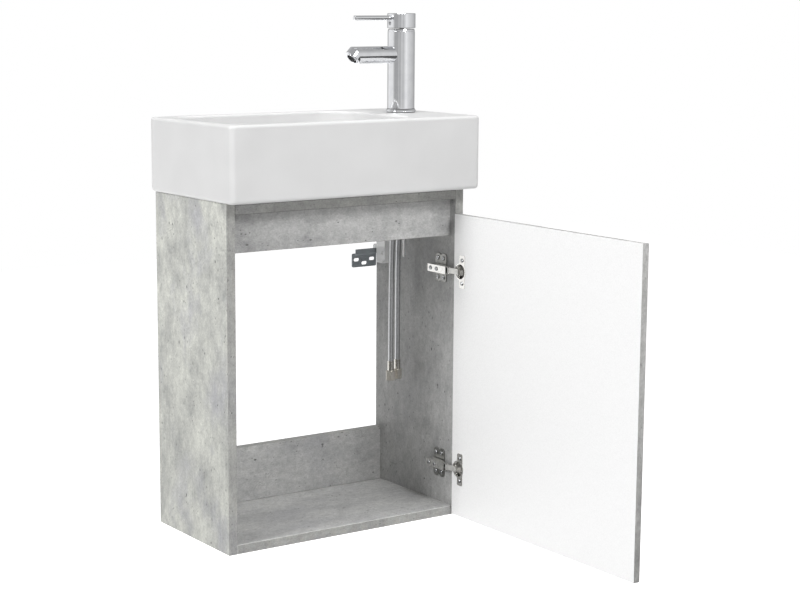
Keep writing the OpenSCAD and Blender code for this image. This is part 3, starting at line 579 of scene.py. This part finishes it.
@dataclass(frozen=True)
class MouldedPolymer(Finish):
    """Moulded plastic or rubber with the fine eroded texture of its mould.

    The grit is drawn coarser than the real tenth of a millimetre, so that it shows.
    """

    colour: str = "#f2f3f4"
    shade: str = "#eaebec"
    grit_mm: float = 0.9
    grit_relief: float = 0.15
    relief_mm: float = 0.1
    roughness: float = 0.45
    sheen: float = 0.5
    edge_mm: float = 0.4

    def paint(self, tree: Tree, shader: Node) -> None:
        """Adds the finish's nodes and sets its shader.

        Args:
            tree: The finish's node tree.
            shader: Its main shader.
        """
        place = self.place(tree, Coordinates.SOLID)
        tone, grit = Cloud(self.grit_mm).coloured(tree, place, self.shade, self.colour)
        eased = add_node(tree, "ShaderNodeBevel", {"Radius": self.edge_mm * MM}, samples=BEVEL_SAMPLES)
        bump = add_node(tree, "ShaderNodeBump", {"Height": grit, "Strength": self.grit_relief,
                                                 "Distance": self.relief_mm * MM,
                                                 "Normal": eased.outputs["Normal"]})
        tree.links.new(tone, shader.inputs["Base Color"])
        tree.links.new(bump.outputs["Normal"], shader.inputs["Normal"])
        shader.inputs["Roughness"].default_value = self.roughness
        shader.inputs["Specular IOR Level"].default_value = self.sheen


@dataclass(frozen=True)
class TurnedBeech(Finish):
    """Turned beech dowel, pale with fine darker flecks along the grain."""

    colour: str = "#d2b487"
    fleck: str = "#b58f5f"
    flecks: Cloud = Cloud(1.2, detail=3.0, levels=(0.4, 0.6))
    stretch: Triple = (0.15, 1.0, 1.0)
    roughness: float = 0.65

    def paint(self, tree: Tree, shader: Node) -> None:
        """Adds the finish's nodes and sets its shader.

        Args:
            tree: The finish's node tree.
            shader: Its main shader.
        """
        place = self.place(tree, Coordinates.SOLID, self.stretch)
        tone, _ = self.flecks.coloured(tree, place, self.fleck, self.colour)
        tree.links.new(tone, shader.inputs["Base Color"])
        shader.inputs["Roughness"].default_value = self.roughness


# Dull cast-concrete print of the side that faces the lamps, in pale clouds
FACING = ConcretePrintMelamine("concrete_print_melamine")

# The same print with painted shade for the low boards inside the cabinet, greyer and flatter
SHADED_FACING = ConcretePrintMelamine("concrete_print_painted_shade", pale="#c8c8c6", middle="#bdbdbc",
                                     dark="#adadad", cool="#b2b2b4")

# The same print with deeper painted shade for the right side and the cross boards, a darker grey
DEEP_SHADED_FACING = ConcretePrintMelamine("concrete_print_painted_deep_shade", pale="#bbbbba", middle="#aeaead",
                                     dark="#9c9c9c", cool="#a3a3a4")

# Edging tape on the cut edges, a plain and darker band that sets the boards off
EDGING = ConcretePrintMelamine("concrete_print_edging", pale="#adada9", middle="#a3a3a0", dark="#979795",
                               cool="#98989b", cloud_mm=50.0, hole_mm=60.0, shade_wave_range=(1.0, 1.0))

# Painted shade on the front rail's eased edges, seen as a thin dark line above the apron
RAIL_EDGE_SHADE = ConcretePrintMelamine("edging_painted_shade_line", pale="#70706e", middle="#686866", dark="#5e5e5c",
                                   cool="#616162")

# Painted highlight on the floor board's eased edges, seen as a thin pale line
ARRIS_HIGHLIGHT = ConcretePrintMelamine("edging_painted_highlight", pale="#dcdcda", middle="#d6d6d4", dark="#cbcbc9",
                                   cool="#cfcfd0", shade_wave_range=(1.0, 1.0))

# The door: plain bright white within, grey concrete on its edges and outer face
DOOR_FACING = DoorFacing("white_and_concrete_print_melamine", pale="#bcbcbb", middle="#aeaeac",
                         dark="#9d9d9c", cool="#a1a1a5", source=Coordinates.SOLID)

# Mirror-bright plating, near white where it mirrors a wall and dark where it mirrors a gap, with painted
# shade in the mixer's joints
POLISHED_CHROME = TapChrome("polished_chrome")

# Stainless wire woven over the hose, which glitters softly
BRAID_WIRE = PlatedMetal("braid_wire", colour="#cacbcd", film="#bcbdbf", roughness=0.3, haze=0.38,
                         mark_mm=3.0)

# Dark moulded acetal, which makes the honeycomb look deep
AERATOR_PLASTIC = MouldedPolymer("aerator_acetal", colour="#2b2c2e", shade="#1f2021", roughness=0.5)

# Brushed nickel, greyer than the bright steel beside it
SATIN_NICKEL = PlatedMetal("satin_nickel_plate", colour="#9c9c99", film="#868683", roughness=0.3, haze=0.42,
                           mark_mm=6.0, edge_mm=0.9)

# Tumbled nickel plating, pale and soft, without clear reflections
LINK_NICKEL = PlatedMetal("barrel_nickel_link", colour="#f4f3f0", film="#e9e8e5", roughness=0.4, haze=0.5,
                          mark_mm=6.0, edge_mm=0.15)

# Bright zinc on a thread, whose ridges spread the light to near white
BRIGHT_ZINC = PlatedMetal("bright_zinc_thread", colour="#ffffff", film="#f4f4f4", roughness=0.4, haze=0.5,
                          mark_mm=5.0, edge_mm=0.15)

SLOT_FINISHES: dict[str, Finish] = {
    "board": FACING,
    "door_board": DOOR_FACING,
    # Bare wood, straw-coloured with short flecks
    "dowel": TurnedBeech("turned_beech"),
    # Even white with broad soft highlights
    "ware": GlazedCeramic("glazed_vitreous_china"),
    "tap_chrome": POLISHED_CHROME,
    "aerator": AERATOR_PLASTIC,
    # Pale grey acetal, slightly waxy
    "tap_plastic": MouldedPolymer("cartridge_acetal", colour="#c9cacc", shade="#b9babd"),
    # Dull grey rubber without highlights
    "gasket": MouldedPolymer("gasket_rubber", colour="#77787a", shade="#6a6b6d", roughness=0.8),
    # Barrel-plated zinc, pale with a soft shine
    "zinc_steel": PlatedMetal("zinc_plated_steel", colour="#f0f0ef", film="#e2e2e1", roughness=0.2, haze=0.32,
                              mark_mm=5.0),
    "braid": BRAID_WIRE,
    # Nickel on drawn brass, with a warm grey shine
    "hose_end": PlatedMetal("nickel_plated_brass", colour="#d3d1cb", film="#bebbb4", roughness=0.18,
                            haze=0.28, mark_mm=4.0),
    # Turned hexagon, pale and warm, without a clear mirror image
    "hose_nut": PlatedMetal("machined_brass", colour="#dedad3", film="#d0cbc3", roughness=0.4, haze=0.48,
                            mark_mm=3.0, edge_mm=0.15),
    # Pressed steel under bright nickel, which mirrors nearly as well as chrome
    "hinge_steel": PlatedMetal("nickel_plated_steel", colour="#e6e5e2", film="#d6d5d2", roughness=0.08,
                               haze=0.14, mark_mm=6.0, edge_mm=0.15),
    # Rolled screws, bright grey with dark cross recesses
    "screw_steel": PlatedMetal("bright_screw_steel", colour="#c9cacb", film="#adafb1", roughness=0.2,
                               haze=0.3, mark_mm=3.0),
    # White moulded ABS with a high gloss
    "hanger_plastic": MouldedPolymer("moulded_abs", colour="#ffffff", shade="#fafafa", roughness=0.12,
                                     sheen=1.0),
    # Zinc on the pressed hook, mid grey and cloudy
    "hook_steel": PlatedMetal("zinc_plated_hook", colour="#b6b8b8", film="#9ea0a1", roughness=0.3, haze=0.45,
                              mark_mm=5.0),
    # Dipped coat on the wall plate, a cool dark grey in the cabinet's shade
    "wall_plate_steel": MouldedPolymer("black_e_coat", colour="#a4aaaf", shade="#989ea3", roughness=0.4),
}
NODE_FINISHES: dict[str, Finish] = {"upper_hinge_plate": SATIN_NICKEL, "lower_hinge_plate": SATIN_NICKEL,
                                    "upper_hinge_link": LINK_NICKEL, "lower_hinge_link": LINK_NICKEL,
                                    "tap_rod": BRIGHT_ZINC}
# Eased edges of two boards: painted shade on the front rail and a painted highlight on the floor board
BOARD_RIMS: dict[str, Finish] = {"top_front_rail": RAIL_EDGE_SHADE, "bottom_panel": ARRIS_HIGHLIGHT}


class Palette:
    """Builds each finish once and hands out its material."""

    def __init__(self) -> None:
        """Starts with no finish built."""
        self.built: dict[str, bpy.types.Material] = {}

    def material(self, finish: Finish) -> bpy.types.Material:
        """Returns the finish's material, made on the first call."""
        if finish.name not in self.built:
            self.built[finish.name] = finish.build()
        return self.built[finish.name]


# Mesh pieces


@dataclass
class Piece:
    """One piece under construction, drawn in millimetres in the part's frame."""

    name: str
    finishes: Sequence[Finish]
    mesh: bmesh.types.BMesh = field(default_factory=bmesh.new)

    def quad_strip(self, rows: Sequence[Sequence[Vector]], finish: Finish) -> None:
        """Joins closed rows of points with four-sided faces.

        Args:
            rows: Rows with the same number of points each.
            finish: One of the piece's finishes.
        """
        index = self.finishes.index(finish)
        verts = [[self.mesh.verts.new(point) for point in row] for row in rows]
        for upper, lower in zip(verts, verts[1:]):
            for k in range(len(upper)):
                n = (k + 1) % len(upper)
                face = self.mesh.faces.new((upper[k], lower[k], lower[n], upper[n]))
                face.material_index = index
                face.smooth = True

    def unwrap(self, grain: Axis, shift: Pair) -> None:
        """Lays a flat pattern on every face, in metres, with its length along the grain.

        Args:
            grain: The axis that the pattern runs along.
            shift: Offset of the pattern in metres, so that boards differ.
        """
        layer = self.mesh.loops.layers.uv.new("pattern")
        for face in self.mesh.faces:
            normal = max(range(3), key=lambda k: abs(face.normal[k]))
            spare = [k for k in range(3) if k != normal]
            along = grain.value if grain.value in spare else spare[1]
            across = spare[0] if along == spare[1] else spare[1]
            for loop in face.loops:
                corner = loop.vert.co
                loop[layer].uv = (corner[across] * MM + shift[0], corner[along] * MM + shift[1])

    def finished(self, palette: Palette, body: str, slot: str, replaces: Sequence[str]) -> bpy.types.Object:
        """Turns the piece into an object that rides on a body and stands for CAD nodes.

        Args:
            palette: Gives the materials.
            body: The CAD body that carries the piece.
            slot: The record's material slot for the piece, not used.
            replaces: CAD nodes that the piece stands for.

        Returns:
            The new object.
        """
        bmesh.ops.scale(self.mesh, vec=(MM, MM, MM), verts=self.mesh.verts)
        data = bpy.data.meshes.new(self.name)
        self.mesh.to_mesh(data)
        self.mesh.free()
        for finish in self.finishes:
            data.materials.append(palette.material(finish))
        piece = bpy.data.objects.new(self.name, data)
        bpy.context.scene.collection.objects.link(piece)
        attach(piece, body)
        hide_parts(*replaces)
        return piece


# Sub-assemblies


@dataclass(frozen=True)
class Board:
    """One board: its lowest and highest corners, its grain and its facing."""

    low: Triple
    high: Triple
    grain: Axis
    facing: Finish


@dataclass
class Cabinet:
    """Open-backed cabinet of faced boards, with edging on their cut edges.

    Each board takes its own stretch of the print, a step in metres on from the one before, and
    the floor board's place along the print is set by itself. A face counts as flat where one
    part of its normal is above the given value.
    """

    width: float = 445.0
    depth: float = 226.0
    height: float = 547.0
    thick: float = 15.0
    rail_drop: float = 3.5
    front_rail: float = 62.0
    back_rail: float = 50.0
    apron: float = 60.5
    apron_set: float = 14.0
    wall_rail: float = 94.0
    arris: float = 0.6
    arris_steps: int = 2
    flat: float = 0.99
    print_across: float = 0.37
    print_along: float = 0.45
    floor_print: float = 1.42

    def boards(self) -> dict[str, Board]:
        """Returns each board, keyed by its node."""
        out, inn = self.width / 2, self.width / 2 - self.thick
        rail = self.height - self.rail_drop - self.thick
        apron_front = self.apron_set - self.depth
        # The left side takes the lit print, and the other boards take copies of it with painted shade
        return {
            "left_side_panel": Board((-out, -self.depth, 0), (-inn, 0, self.height), Axis.Z, FACING),
            "right_side_panel": Board((inn, -self.depth, 0), (out, 0, self.height), Axis.Z, DEEP_SHADED_FACING),
            "bottom_panel": Board((-inn, -self.depth, 0), (inn, 0, self.thick), Axis.X, SHADED_FACING),
            "top_front_rail": Board((-inn, -self.depth, rail),
                                    (inn, self.front_rail - self.depth, rail + self.thick),
                                    Axis.X, DEEP_SHADED_FACING),
            "top_back_rail": Board((-inn, -self.back_rail, rail), (inn, 0, rail + self.thick),
                                   Axis.X, DEEP_SHADED_FACING),
            "front_apron": Board((-inn, apron_front, rail - self.apron),
                                 (inn, apron_front + self.thick, rail), Axis.X, DEEP_SHADED_FACING),
            "lower_wall_rail": Board((-inn, -self.thick, self.thick), (inn, 0, self.thick + self.wall_rail),
                                     Axis.X, SHADED_FACING),
        }

    def build(self, palette: Palette) -> None:
        """Builds every board, each with its own stretch of the print.

        Args:
            palette: Gives the materials.
        """
        for number, (node, board) in enumerate(self.boards().items()):
            piece = self.faced(node, board)
            along = self.floor_print if node == "bottom_panel" else self.print_along * number
            piece.unwrap(board.grain, (self.print_across * number, along))
            piece.finished(palette, "cabinet", "board", [node])
            LOG.info("board %s", node)

    def faced(self, node: str, board: Board) -> Piece:
        """Draws a board with eased edges, faced on its two large sides and edged on the others.

        Args:
            node: The CAD node that the board stands for.
            board: The board.

        Returns:
            The piece, not yet unwrapped.
        """
        # The front rail's eased edges take painted shade, and the floor board's a painted highlight
        piece = Piece(node + "_dressed", [board.facing, EDGING, BOARD_RIMS.get(node, EDGING)])
        size = [high - low for low, high in zip(board.low, board.high)]
        middle = [(high + low) / 2 for low, high in zip(board.low, board.high)]
        box = Matrix.Translation(middle) @ Matrix.Diagonal((*size, 1))
        bmesh.ops.create_cube(piece.mesh, size=1.0, matrix=box)
        bmesh.ops.bevel(piece.mesh, geom=list(piece.mesh.edges), offset=self.arris, affect="EDGES",
                        segments=self.arris_steps, profile=0.5)
        piece.mesh.normal_update()
        thin = size.index(min(size))
        for face in piece.mesh.faces:
            kind = BoardFace.EDGING
            if max(abs(x) for x in face.normal) < self.flat:
                kind = BoardFace.ARRIS
            elif abs(face.normal[thin]) > self.flat:
                kind = BoardFace.FACING
            face.material_index = kind.value
        return piece


@dataclass
class SupplyHose:
    """Braided hose that hangs from the tap, with the diamonds of its steel braid in relief.

    The real wires are finer: the diamonds are drawn as coarse as they need to be to show.
    """

    side: str
    route: Sequence[Triple]
    diameter: float = 8.6
    diamonds: int = 20
    pitch: float = 1.25
    relief: float = 0.02
    path_step: int = 4

    def centreline(self) -> list[Vector]:
        """Returns points along a smooth curve through the route, one to each row of diamonds."""
        points = [Vector(place) for place in self.route]
        points = [2 * points[0] - points[1], *points, 2 * points[-1] - points[-2]]
        line: list[Vector] = []
        for a, b, c, d in zip(points, points[1:], points[2:], points[3:]):
            steps = max(2, round((c - b).length / self.pitch))
            for k in range(steps):
                t = k / steps
                line.append(0.5 * (2 * b + (c - a) * t + (2 * a - 5 * b + 4 * c - d) * t * t
                                   + (3 * b - a - 3 * c + d) * t * t * t))
        line.append(points[-2])
        return line

    def ring(self, number: int, centre: Vector) -> list[Vector]:
        """Returns one row of the braid round the centreline.

        Args:
            number: The row's number, which shifts its diamonds by half on every second row.
            centre: The row's centre.

        Returns:
            Points that are high and low by turns.
        """
        points = []
        for k in range(self.diamonds):
            angle = math.tau * k / self.diamonds
            radius = self.diameter / 2 - self.relief * ((number + k) % 2)
            points.append(centre + Vector((radius * math.cos(angle), radius * math.sin(angle), 0)))
        return points

    def build(self, palette: Palette, fittings: Sequence[bpy.types.Object]) -> None:
        """Args:
            palette: Gives the materials.
            fittings: CAD nodes on the hose's two ends, not used.
        """
        piece = Piece(f"{self.side}_hose_braid", [BRAID_WIRE])
        line = self.centreline()
        piece.quad_strip([self.ring(number, centre) for number, centre in enumerate(line)], BRAID_WIRE)
        hose = piece.finished(palette, "cabinet", "braid", [f"{self.side}_hose"])


@dataclass
class Aerator:
    """Aerator in the spout's nose: a plated ring round a moulded honeycomb.

    Its distances run down the nose from where the spout bends, and the honeycomb's walls and
    margin are shares of its cell.
    """

    spout_reach: float = 92.0
    bend_z: float = 759.5
    nose_angle: float = 45.0
    ring_radius: float = 11.0
    ring_low: float = 3.0
    ring_high: float = 8.5
    ring_eased: float = 0.4
    outer_shoulder: float = 0.12
    inner_shoulder: float = 0.1
    lip_depth: float = 1.0
    facets: int = 64
    screen_radius: float = 9.0
    screen_at: float = 7.1
    backing: float = 1.5
    backing_hub: float = 0.02
    cell: float = 2.0
    wall_outside: float = 0.575
    wall_inside: float = 0.44
    outside_depth: float = 1.2
    inside_depth: float = 1.4
    margin: float = 0.6

    def build(self, palette: Palette) -> None:
        """Builds the ring and the honeycomb in one piece.

        Args:
            palette: Gives the materials.
        """
        piece = Piece("aerator_insert", [AERATOR_PLASTIC, POLISHED_CHROME])
        nose = math.radians(self.nose_angle)
        axis = Vector((-math.sin(nose), 0, -math.cos(nose)))
        side = Vector((0, 1, 0))
        across = axis.cross(side)
        start = Vector((TAP_X - self.spout_reach, TAP_Y, self.bend_z))

        def point(radius: float, angle: float, along: float) -> Vector:
            """Returns a point by radius, angle and distance down the nose."""
            return start + axis * along + (side * math.cos(angle) + across * math.sin(angle)) * radius

        turns = [math.tau * k / self.facets for k in range(self.facets)]
        behind = self.screen_at - self.backing
        disc = [(self.screen_radius, behind), (self.backing_hub, behind)]
        for profile, finish in ((self.ring_profile(), POLISHED_CHROME), (disc, AERATOR_PLASTIC)):
            piece.quad_strip([[point(r, a, s) for a in turns] for r, s in profile], finish)
        corners = [math.radians(30 + 60 * k) for k in range(6)]
        for u, v in self.cell_places():
            centre = side * u + across * v
            piece.quad_strip([[point(r, a, s) + centre for a in corners] for r, s in self.cell_profile()],
                             AERATOR_PLASTIC)
        piece.finished(palette, "cabinet", "aerator", ["aerator"])
        LOG.info("aerator")

    def ring_profile(self) -> list[Pair]:
        """Returns the plated ring's section as radius and distance, from outside to inside."""
        top, eased = self.ring_high, self.ring_eased
        return [(self.ring_radius, self.ring_low), (self.ring_radius, top - eased),
                (self.ring_radius - self.outer_shoulder, top - self.outer_shoulder),
                (self.ring_radius - eased, top), (self.screen_radius + eased, top),
                (self.screen_radius + self.inner_shoulder, top - self.outer_shoulder),
                (self.screen_radius, top - eased), (self.screen_radius, self.ring_low + self.lip_depth)]

    def cell_profile(self) -> list[Pair]:
        """Returns the section of one cell's wall as radius and distance."""
        outside, inside = self.wall_outside * self.cell, self.wall_inside * self.cell
        return [(outside, self.screen_at - self.outside_depth), (outside, self.screen_at),
                (inside, self.screen_at), (inside, self.screen_at - self.inside_depth)]

    def cell_places(self) -> list[Pair]:
        """Returns the centres of the honeycomb's cells, whose rows are shifted by half by turns."""
        places = []
        reach = int(self.screen_radius / self.cell) + 1
        for row in range(-reach, reach + 1):
            for column in range(-reach, reach + 1):
                u = (column + 0.5 * (row % 2)) * self.cell
                v = row * self.cell * math.sqrt(0.75)
                if math.hypot(u, v) < self.screen_radius - self.margin * self.cell:
                    places.append((u, v))
        return places


@dataclass
class Plumbing:
    """The two supply hoses, drawn from the tap's axis as the frame has them."""

    hot: Sequence[Triple] = (
        (-7.5, 4, 628), (-7.5, 4, 610), (-7.6, 4.2, 590), (-8, 5, 565), (-8.6, 6, 540), (-9.3, 6.8, 510),
        (-10, 7.3, 480), (-10.6, 7.6, 450), (-11, 7.8, 420), (-11.4, 8, 390), (-11.7, 8, 360),
        (-11.9, 8, 330), (-12, 8, 300), (-12, 8, 270), (-12, 8, 246))
    cold: Sequence[Triple] = (
        (7.5, 4, 628), (7.5, 4, 610), (7.4, 4.4, 590), (7.2, 6, 565), (7, 8, 540), (6.8, 10, 510),
        (6.7, 12, 480), (6.6, 13.4, 450), (6.5, 14.3, 420), (6.5, 14.8, 390), (6.5, 15, 360),
        (6.5, 15, 330), (6.5, 15, 300), (6.5, 15, 270), (6.5, 15, 246))

    def build(self, palette: Palette, nodes: dict[str, bpy.types.Object]) -> None:
        """Builds the braid of both hoses.

        Args:
            palette: Gives the materials.
            nodes: The frame's CAD objects, keyed by node.
        """
        for side, points in (("hot", self.hot), ("cold", self.cold)):
            route = [(TAP_X + x, TAP_Y + y, z) for x, y, z in points]
            fittings = [nodes[f"{side}_hose_{end}"] for end in ("nipple", "ferrule", "nut")]
            SupplyHose(side, route).build(palette, fittings)


# Studio


@dataclass(frozen=True)
class SoftLamp:
    """A square soft lamp, with its place, its aim and its side in metres."""

    name: str
    place: Triple
    aim: Triple
    side: float
    watts: float

    def hang(self) -> None:
        """Hangs the lamp, which the camera itself doesn't see."""
        data = bpy.data.lights.new(self.name, "AREA")
        data.size = self.side
        data.energy = self.watts
        lamp = bpy.data.objects.new(self.name, data)
        bpy.context.scene.collection.objects.link(lamp)
        lamp.location = self.place
        lamp.rotation_euler = (Vector(self.aim) - Vector(self.place)).to_track_quat("-Z", "Y").to_euler()
        lamp.visible_camera = False


@dataclass
class Studio:
    """White studio: camera, floor, lamps and surroundings.

    Its walls go once round the object, from 0 to 1, as polished metal mirrors them.
    """

    camera_at: Triple = (-1.571, -2.57, 0.841)
    camera_turn: float = 33.14
    camera_dip: float = 9.26
    lens: float = 81.6
    sensor: float = 36.0
    shift: Pair = (0.09, 0.0)
    near: float = 0.05
    surround: float = 0.38
    walls: Sequence[tuple[float, str]] = (
        (0.0, "#b2b2b2"), (0.08, "#b5b5b5"), (0.1, "#d0d0d0"), (0.12, "#b4b4b4"), (0.17, "#dcdcdc"),
        (0.2, "#c8c8c8"), (0.27, "#ffffff"), (0.34, "#e6e6e6"), (0.45, "#d0d0d0"), (0.54, "#b4b4b4"),
        (0.75, "#c0c0c0"), (0.8, "#ffffff"), (0.95, "#f6f6f6"), (1.0, "#b2b2b2"))
    ceiling: str = "#b4b4b4"
    ceiling_heights: Pair = (0.35, 0.8)
    floor_z: float = -0.35
    floor_size: float = 5.0
    floor_squares: int = 8
    floor_colour: str = "#e8e8e8"
    floor_mirrored: str = "#5c5c5c"
    floor_front: Pair = (-0.2, 0.0)
    floor_glow: float = 0.72
    floor_roughness: float = 0.9
    lamps: Sequence[SoftLamp] = (
        SoftLamp("left_softbox", (-6.0, -0.6, 3.2), (0.0, -0.25, 0.4), side=1.6, watts=210.0),
        SoftLamp("front_softbox", (0.1, -2.8, 2.62), (0.0, -0.25, 0.4), side=0.8, watts=57.0),
        SoftLamp("top_softbox", (0.0, -0.12, 2.65), (0.0, -0.12, 0.6), side=0.8, watts=22.0))

    def set_camera(self) -> None:
        """Sets the camera where the photograph was taken from."""
        data = bpy.data.cameras.new("studio_camera")
        camera = bpy.data.objects.new("studio_camera", data)
        bpy.context.scene.collection.objects.link(camera)
        data.sensor_width = self.sensor
        data.lens = self.lens
        data.shift_x, data.shift_y = self.shift
        data.clip_start = self.near
        camera.location = self.camera_at
        camera.rotation_euler = (math.radians(90 - self.camera_dip), 0, math.radians(-self.camera_turn))
        bpy.context.scene.camera = camera

    def set_surroundings(self) -> None:
        """Sets a white background, a softer surrounding light and a room for the mirrors."""
        world = bpy.data.worlds.new("white_studio")
        world.use_nodes = True
        tree = world.node_tree
        light = tree.nodes["Background"]
        light.inputs["Color"].default_value = linear(WHITE)
        light.inputs["Strength"].default_value = self.surround
        seen = add_node(tree, "ShaderNodeBackground", {"Color": linear(WHITE), "Strength": 1.0})
        rays = add_node(tree, "ShaderNodeLightPath")
        glossy = add_node(tree, "ShaderNodeMixShader", {"Fac": rays.outputs["Is Glossy Ray"],
                                                        1: light.outputs["Background"],
                                                        2: self.mirror_room(tree)})
        mix = add_node(tree, "ShaderNodeMixShader", {"Fac": rays.outputs["Is Camera Ray"],
                                                     1: glossy.outputs["Shader"],
                                                     2: seen.outputs["Background"]})
        tree.links.new(mix.outputs["Shader"], tree.nodes["World Output"].inputs["Surface"])
        bpy.context.scene.world = world

    def mirror_room(self, tree: Tree) -> Socket:
        """Gives the room that polished metal mirrors: white walls with grey panels between them.

        Args:
            tree: The world's node tree.

        Returns:
            The room's light.
        """
        direction = add_node(tree, "ShaderNodeTexCoord").outputs["Generated"]
        split = add_node(tree, "ShaderNodeSeparateXYZ", {"Vector": direction})
        turn = add_node(tree, "ShaderNodeMath", {0: split.outputs["Y"], 1: split.outputs["X"]},
                        operation="ARCTAN2").outputs["Value"]
        round_share = add_node(tree, "ShaderNodeMapRange",
                               {"Value": turn, **span((-math.pi, math.pi), (0.0, 1.0))})
        ramp = add_node(tree, "ShaderNodeValToRGB", {"Fac": round_share.outputs["Result"]})
        walls = set_stops(ramp, self.walls)
        height = add_node(tree, "ShaderNodeMapRange",
                          {"Value": split.outputs["Z"], **span(self.ceiling_heights, (0.0, 1.0))})
        inputs = {SHARE: height.outputs["Result"], FIRST: walls, SECOND: linear(self.ceiling)}
        tone = add_node(tree, "ShaderNodeMix", inputs, data_type="RGBA").outputs[MIXED]
        return add_node(tree, "ShaderNodeBackground", {"Color": tone, "Strength": 1.0}).outputs["Background"]

    def set_floor(self) -> None:
        """Lays the pale floor."""
        mesh = bmesh.new()
        bmesh.ops.create_grid(mesh, x_segments=self.floor_squares, y_segments=self.floor_squares,
                              size=self.floor_size, matrix=Matrix.Translation((0, 0, self.floor_z)))
        data = bpy.data.meshes.new("studio_floor")
        mesh.to_mesh(data)
        mesh.free()
        data.materials.append(self.floor_finish())
        floor = bpy.data.objects.new("studio_floor", data)
        bpy.context.scene.collection.objects.link(floor)

    def floor_finish(self) -> bpy.types.Material:
        """Returns the floor's material.

        The floor is white to the camera and keeps the object's shadow. Mirrors see it dark in
        front of the object and white behind it.
        """
        material = bpy.data.materials.new("white_floor")
        material.use_nodes = True
        tree = material.node_tree
        shader = tree.nodes["Principled BSDF"]
        shader.inputs["Roughness"].default_value = self.floor_roughness
        rays = add_node(tree, "ShaderNodeLightPath")
        mirrored = rays.outputs["Is Glossy Ray"]
        coordinates = add_node(tree, "ShaderNodeTexCoord").outputs["Object"]
        depth = add_node(tree, "ShaderNodeSeparateXYZ", {"Vector": coordinates}).outputs["Y"]
        front = add_node(tree, "ShaderNodeMapRange",
                         {"Value": depth, **span(self.floor_front, (1.0, 0.0))}).outputs["Result"]
        dark = add_node(tree, "ShaderNodeMath", {0: mirrored, 1: front}, operation="MULTIPLY")
        inputs = {SHARE: dark.outputs["Value"], FIRST: linear(self.floor_colour),
                  SECOND: linear(self.floor_mirrored)}
        tone = add_node(tree, "ShaderNodeMix", inputs, data_type="RGBA").outputs[MIXED]
        tree.links.new(tone, shader.inputs["Base Color"])
        glow = add_node(tree, "ShaderNodeEmission", {"Color": linear(WHITE), "Strength": self.floor_glow})
        both = add_node(tree, "ShaderNodeAddShader", {0: shader.outputs["BSDF"], 1: glow.outputs["Emission"]})
        bright: float | Socket = 1.0
        for operation, other in (("SUBTRACT", front), ("MULTIPLY", mirrored),
                                 ("MAXIMUM", rays.outputs["Is Camera Ray"])):
            step = add_node(tree, "ShaderNodeMath", {0: bright, 1: other}, operation=operation)
            bright = step.outputs["Value"]
        mix = add_node(tree, "ShaderNodeMixShader", {"Fac": bright, 1: shader.outputs["BSDF"],
                                                     2: both.outputs["Shader"]})
        tree.links.new(mix.outputs["Shader"], tree.nodes["Material Output"].inputs["Surface"])
        return material

    def set_lamps(self) -> None:
        """Hangs the large soft lamps."""
        for lamp in self.lamps:
            lamp.hang()


def dress_nodes(frame: dict, palette: Palette) -> None:
    """Gives every CAD node its own finish or that of its material slot.

    Args:
        frame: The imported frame.
        palette: Gives the materials.
    """
    for part in frame["record"]["subparts"]:
        finish = NODE_FINISHES.get(part["node"], SLOT_FINISHES[part["material_slot"]])
        materials = frame["nodes"][part["node"]].data.materials
        materials.clear()
        materials.append(palette.material(finish))
        LOG.info("%s in %s", part["node"], finish.name)


def main() -> None:
    """Builds the camera, the hoses, every sub-assembly and the studio."""
    logging.basicConfig(level=logging.INFO, format="%(name)s: %(message)s")
    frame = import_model()
    bpy.context.scene.view_settings.view_transform = "Standard"
    studio = Studio()
    studio.set_camera()
    palette = Palette()
    Plumbing().build(palette, frame["nodes"])
    dress_nodes(frame, palette)
    Cabinet().build(palette)
    Aerator().build(palette)
    studio.set_surroundings()
    studio.set_floor()
    studio.set_lamps()


if __name__ == "__main__":
    main()
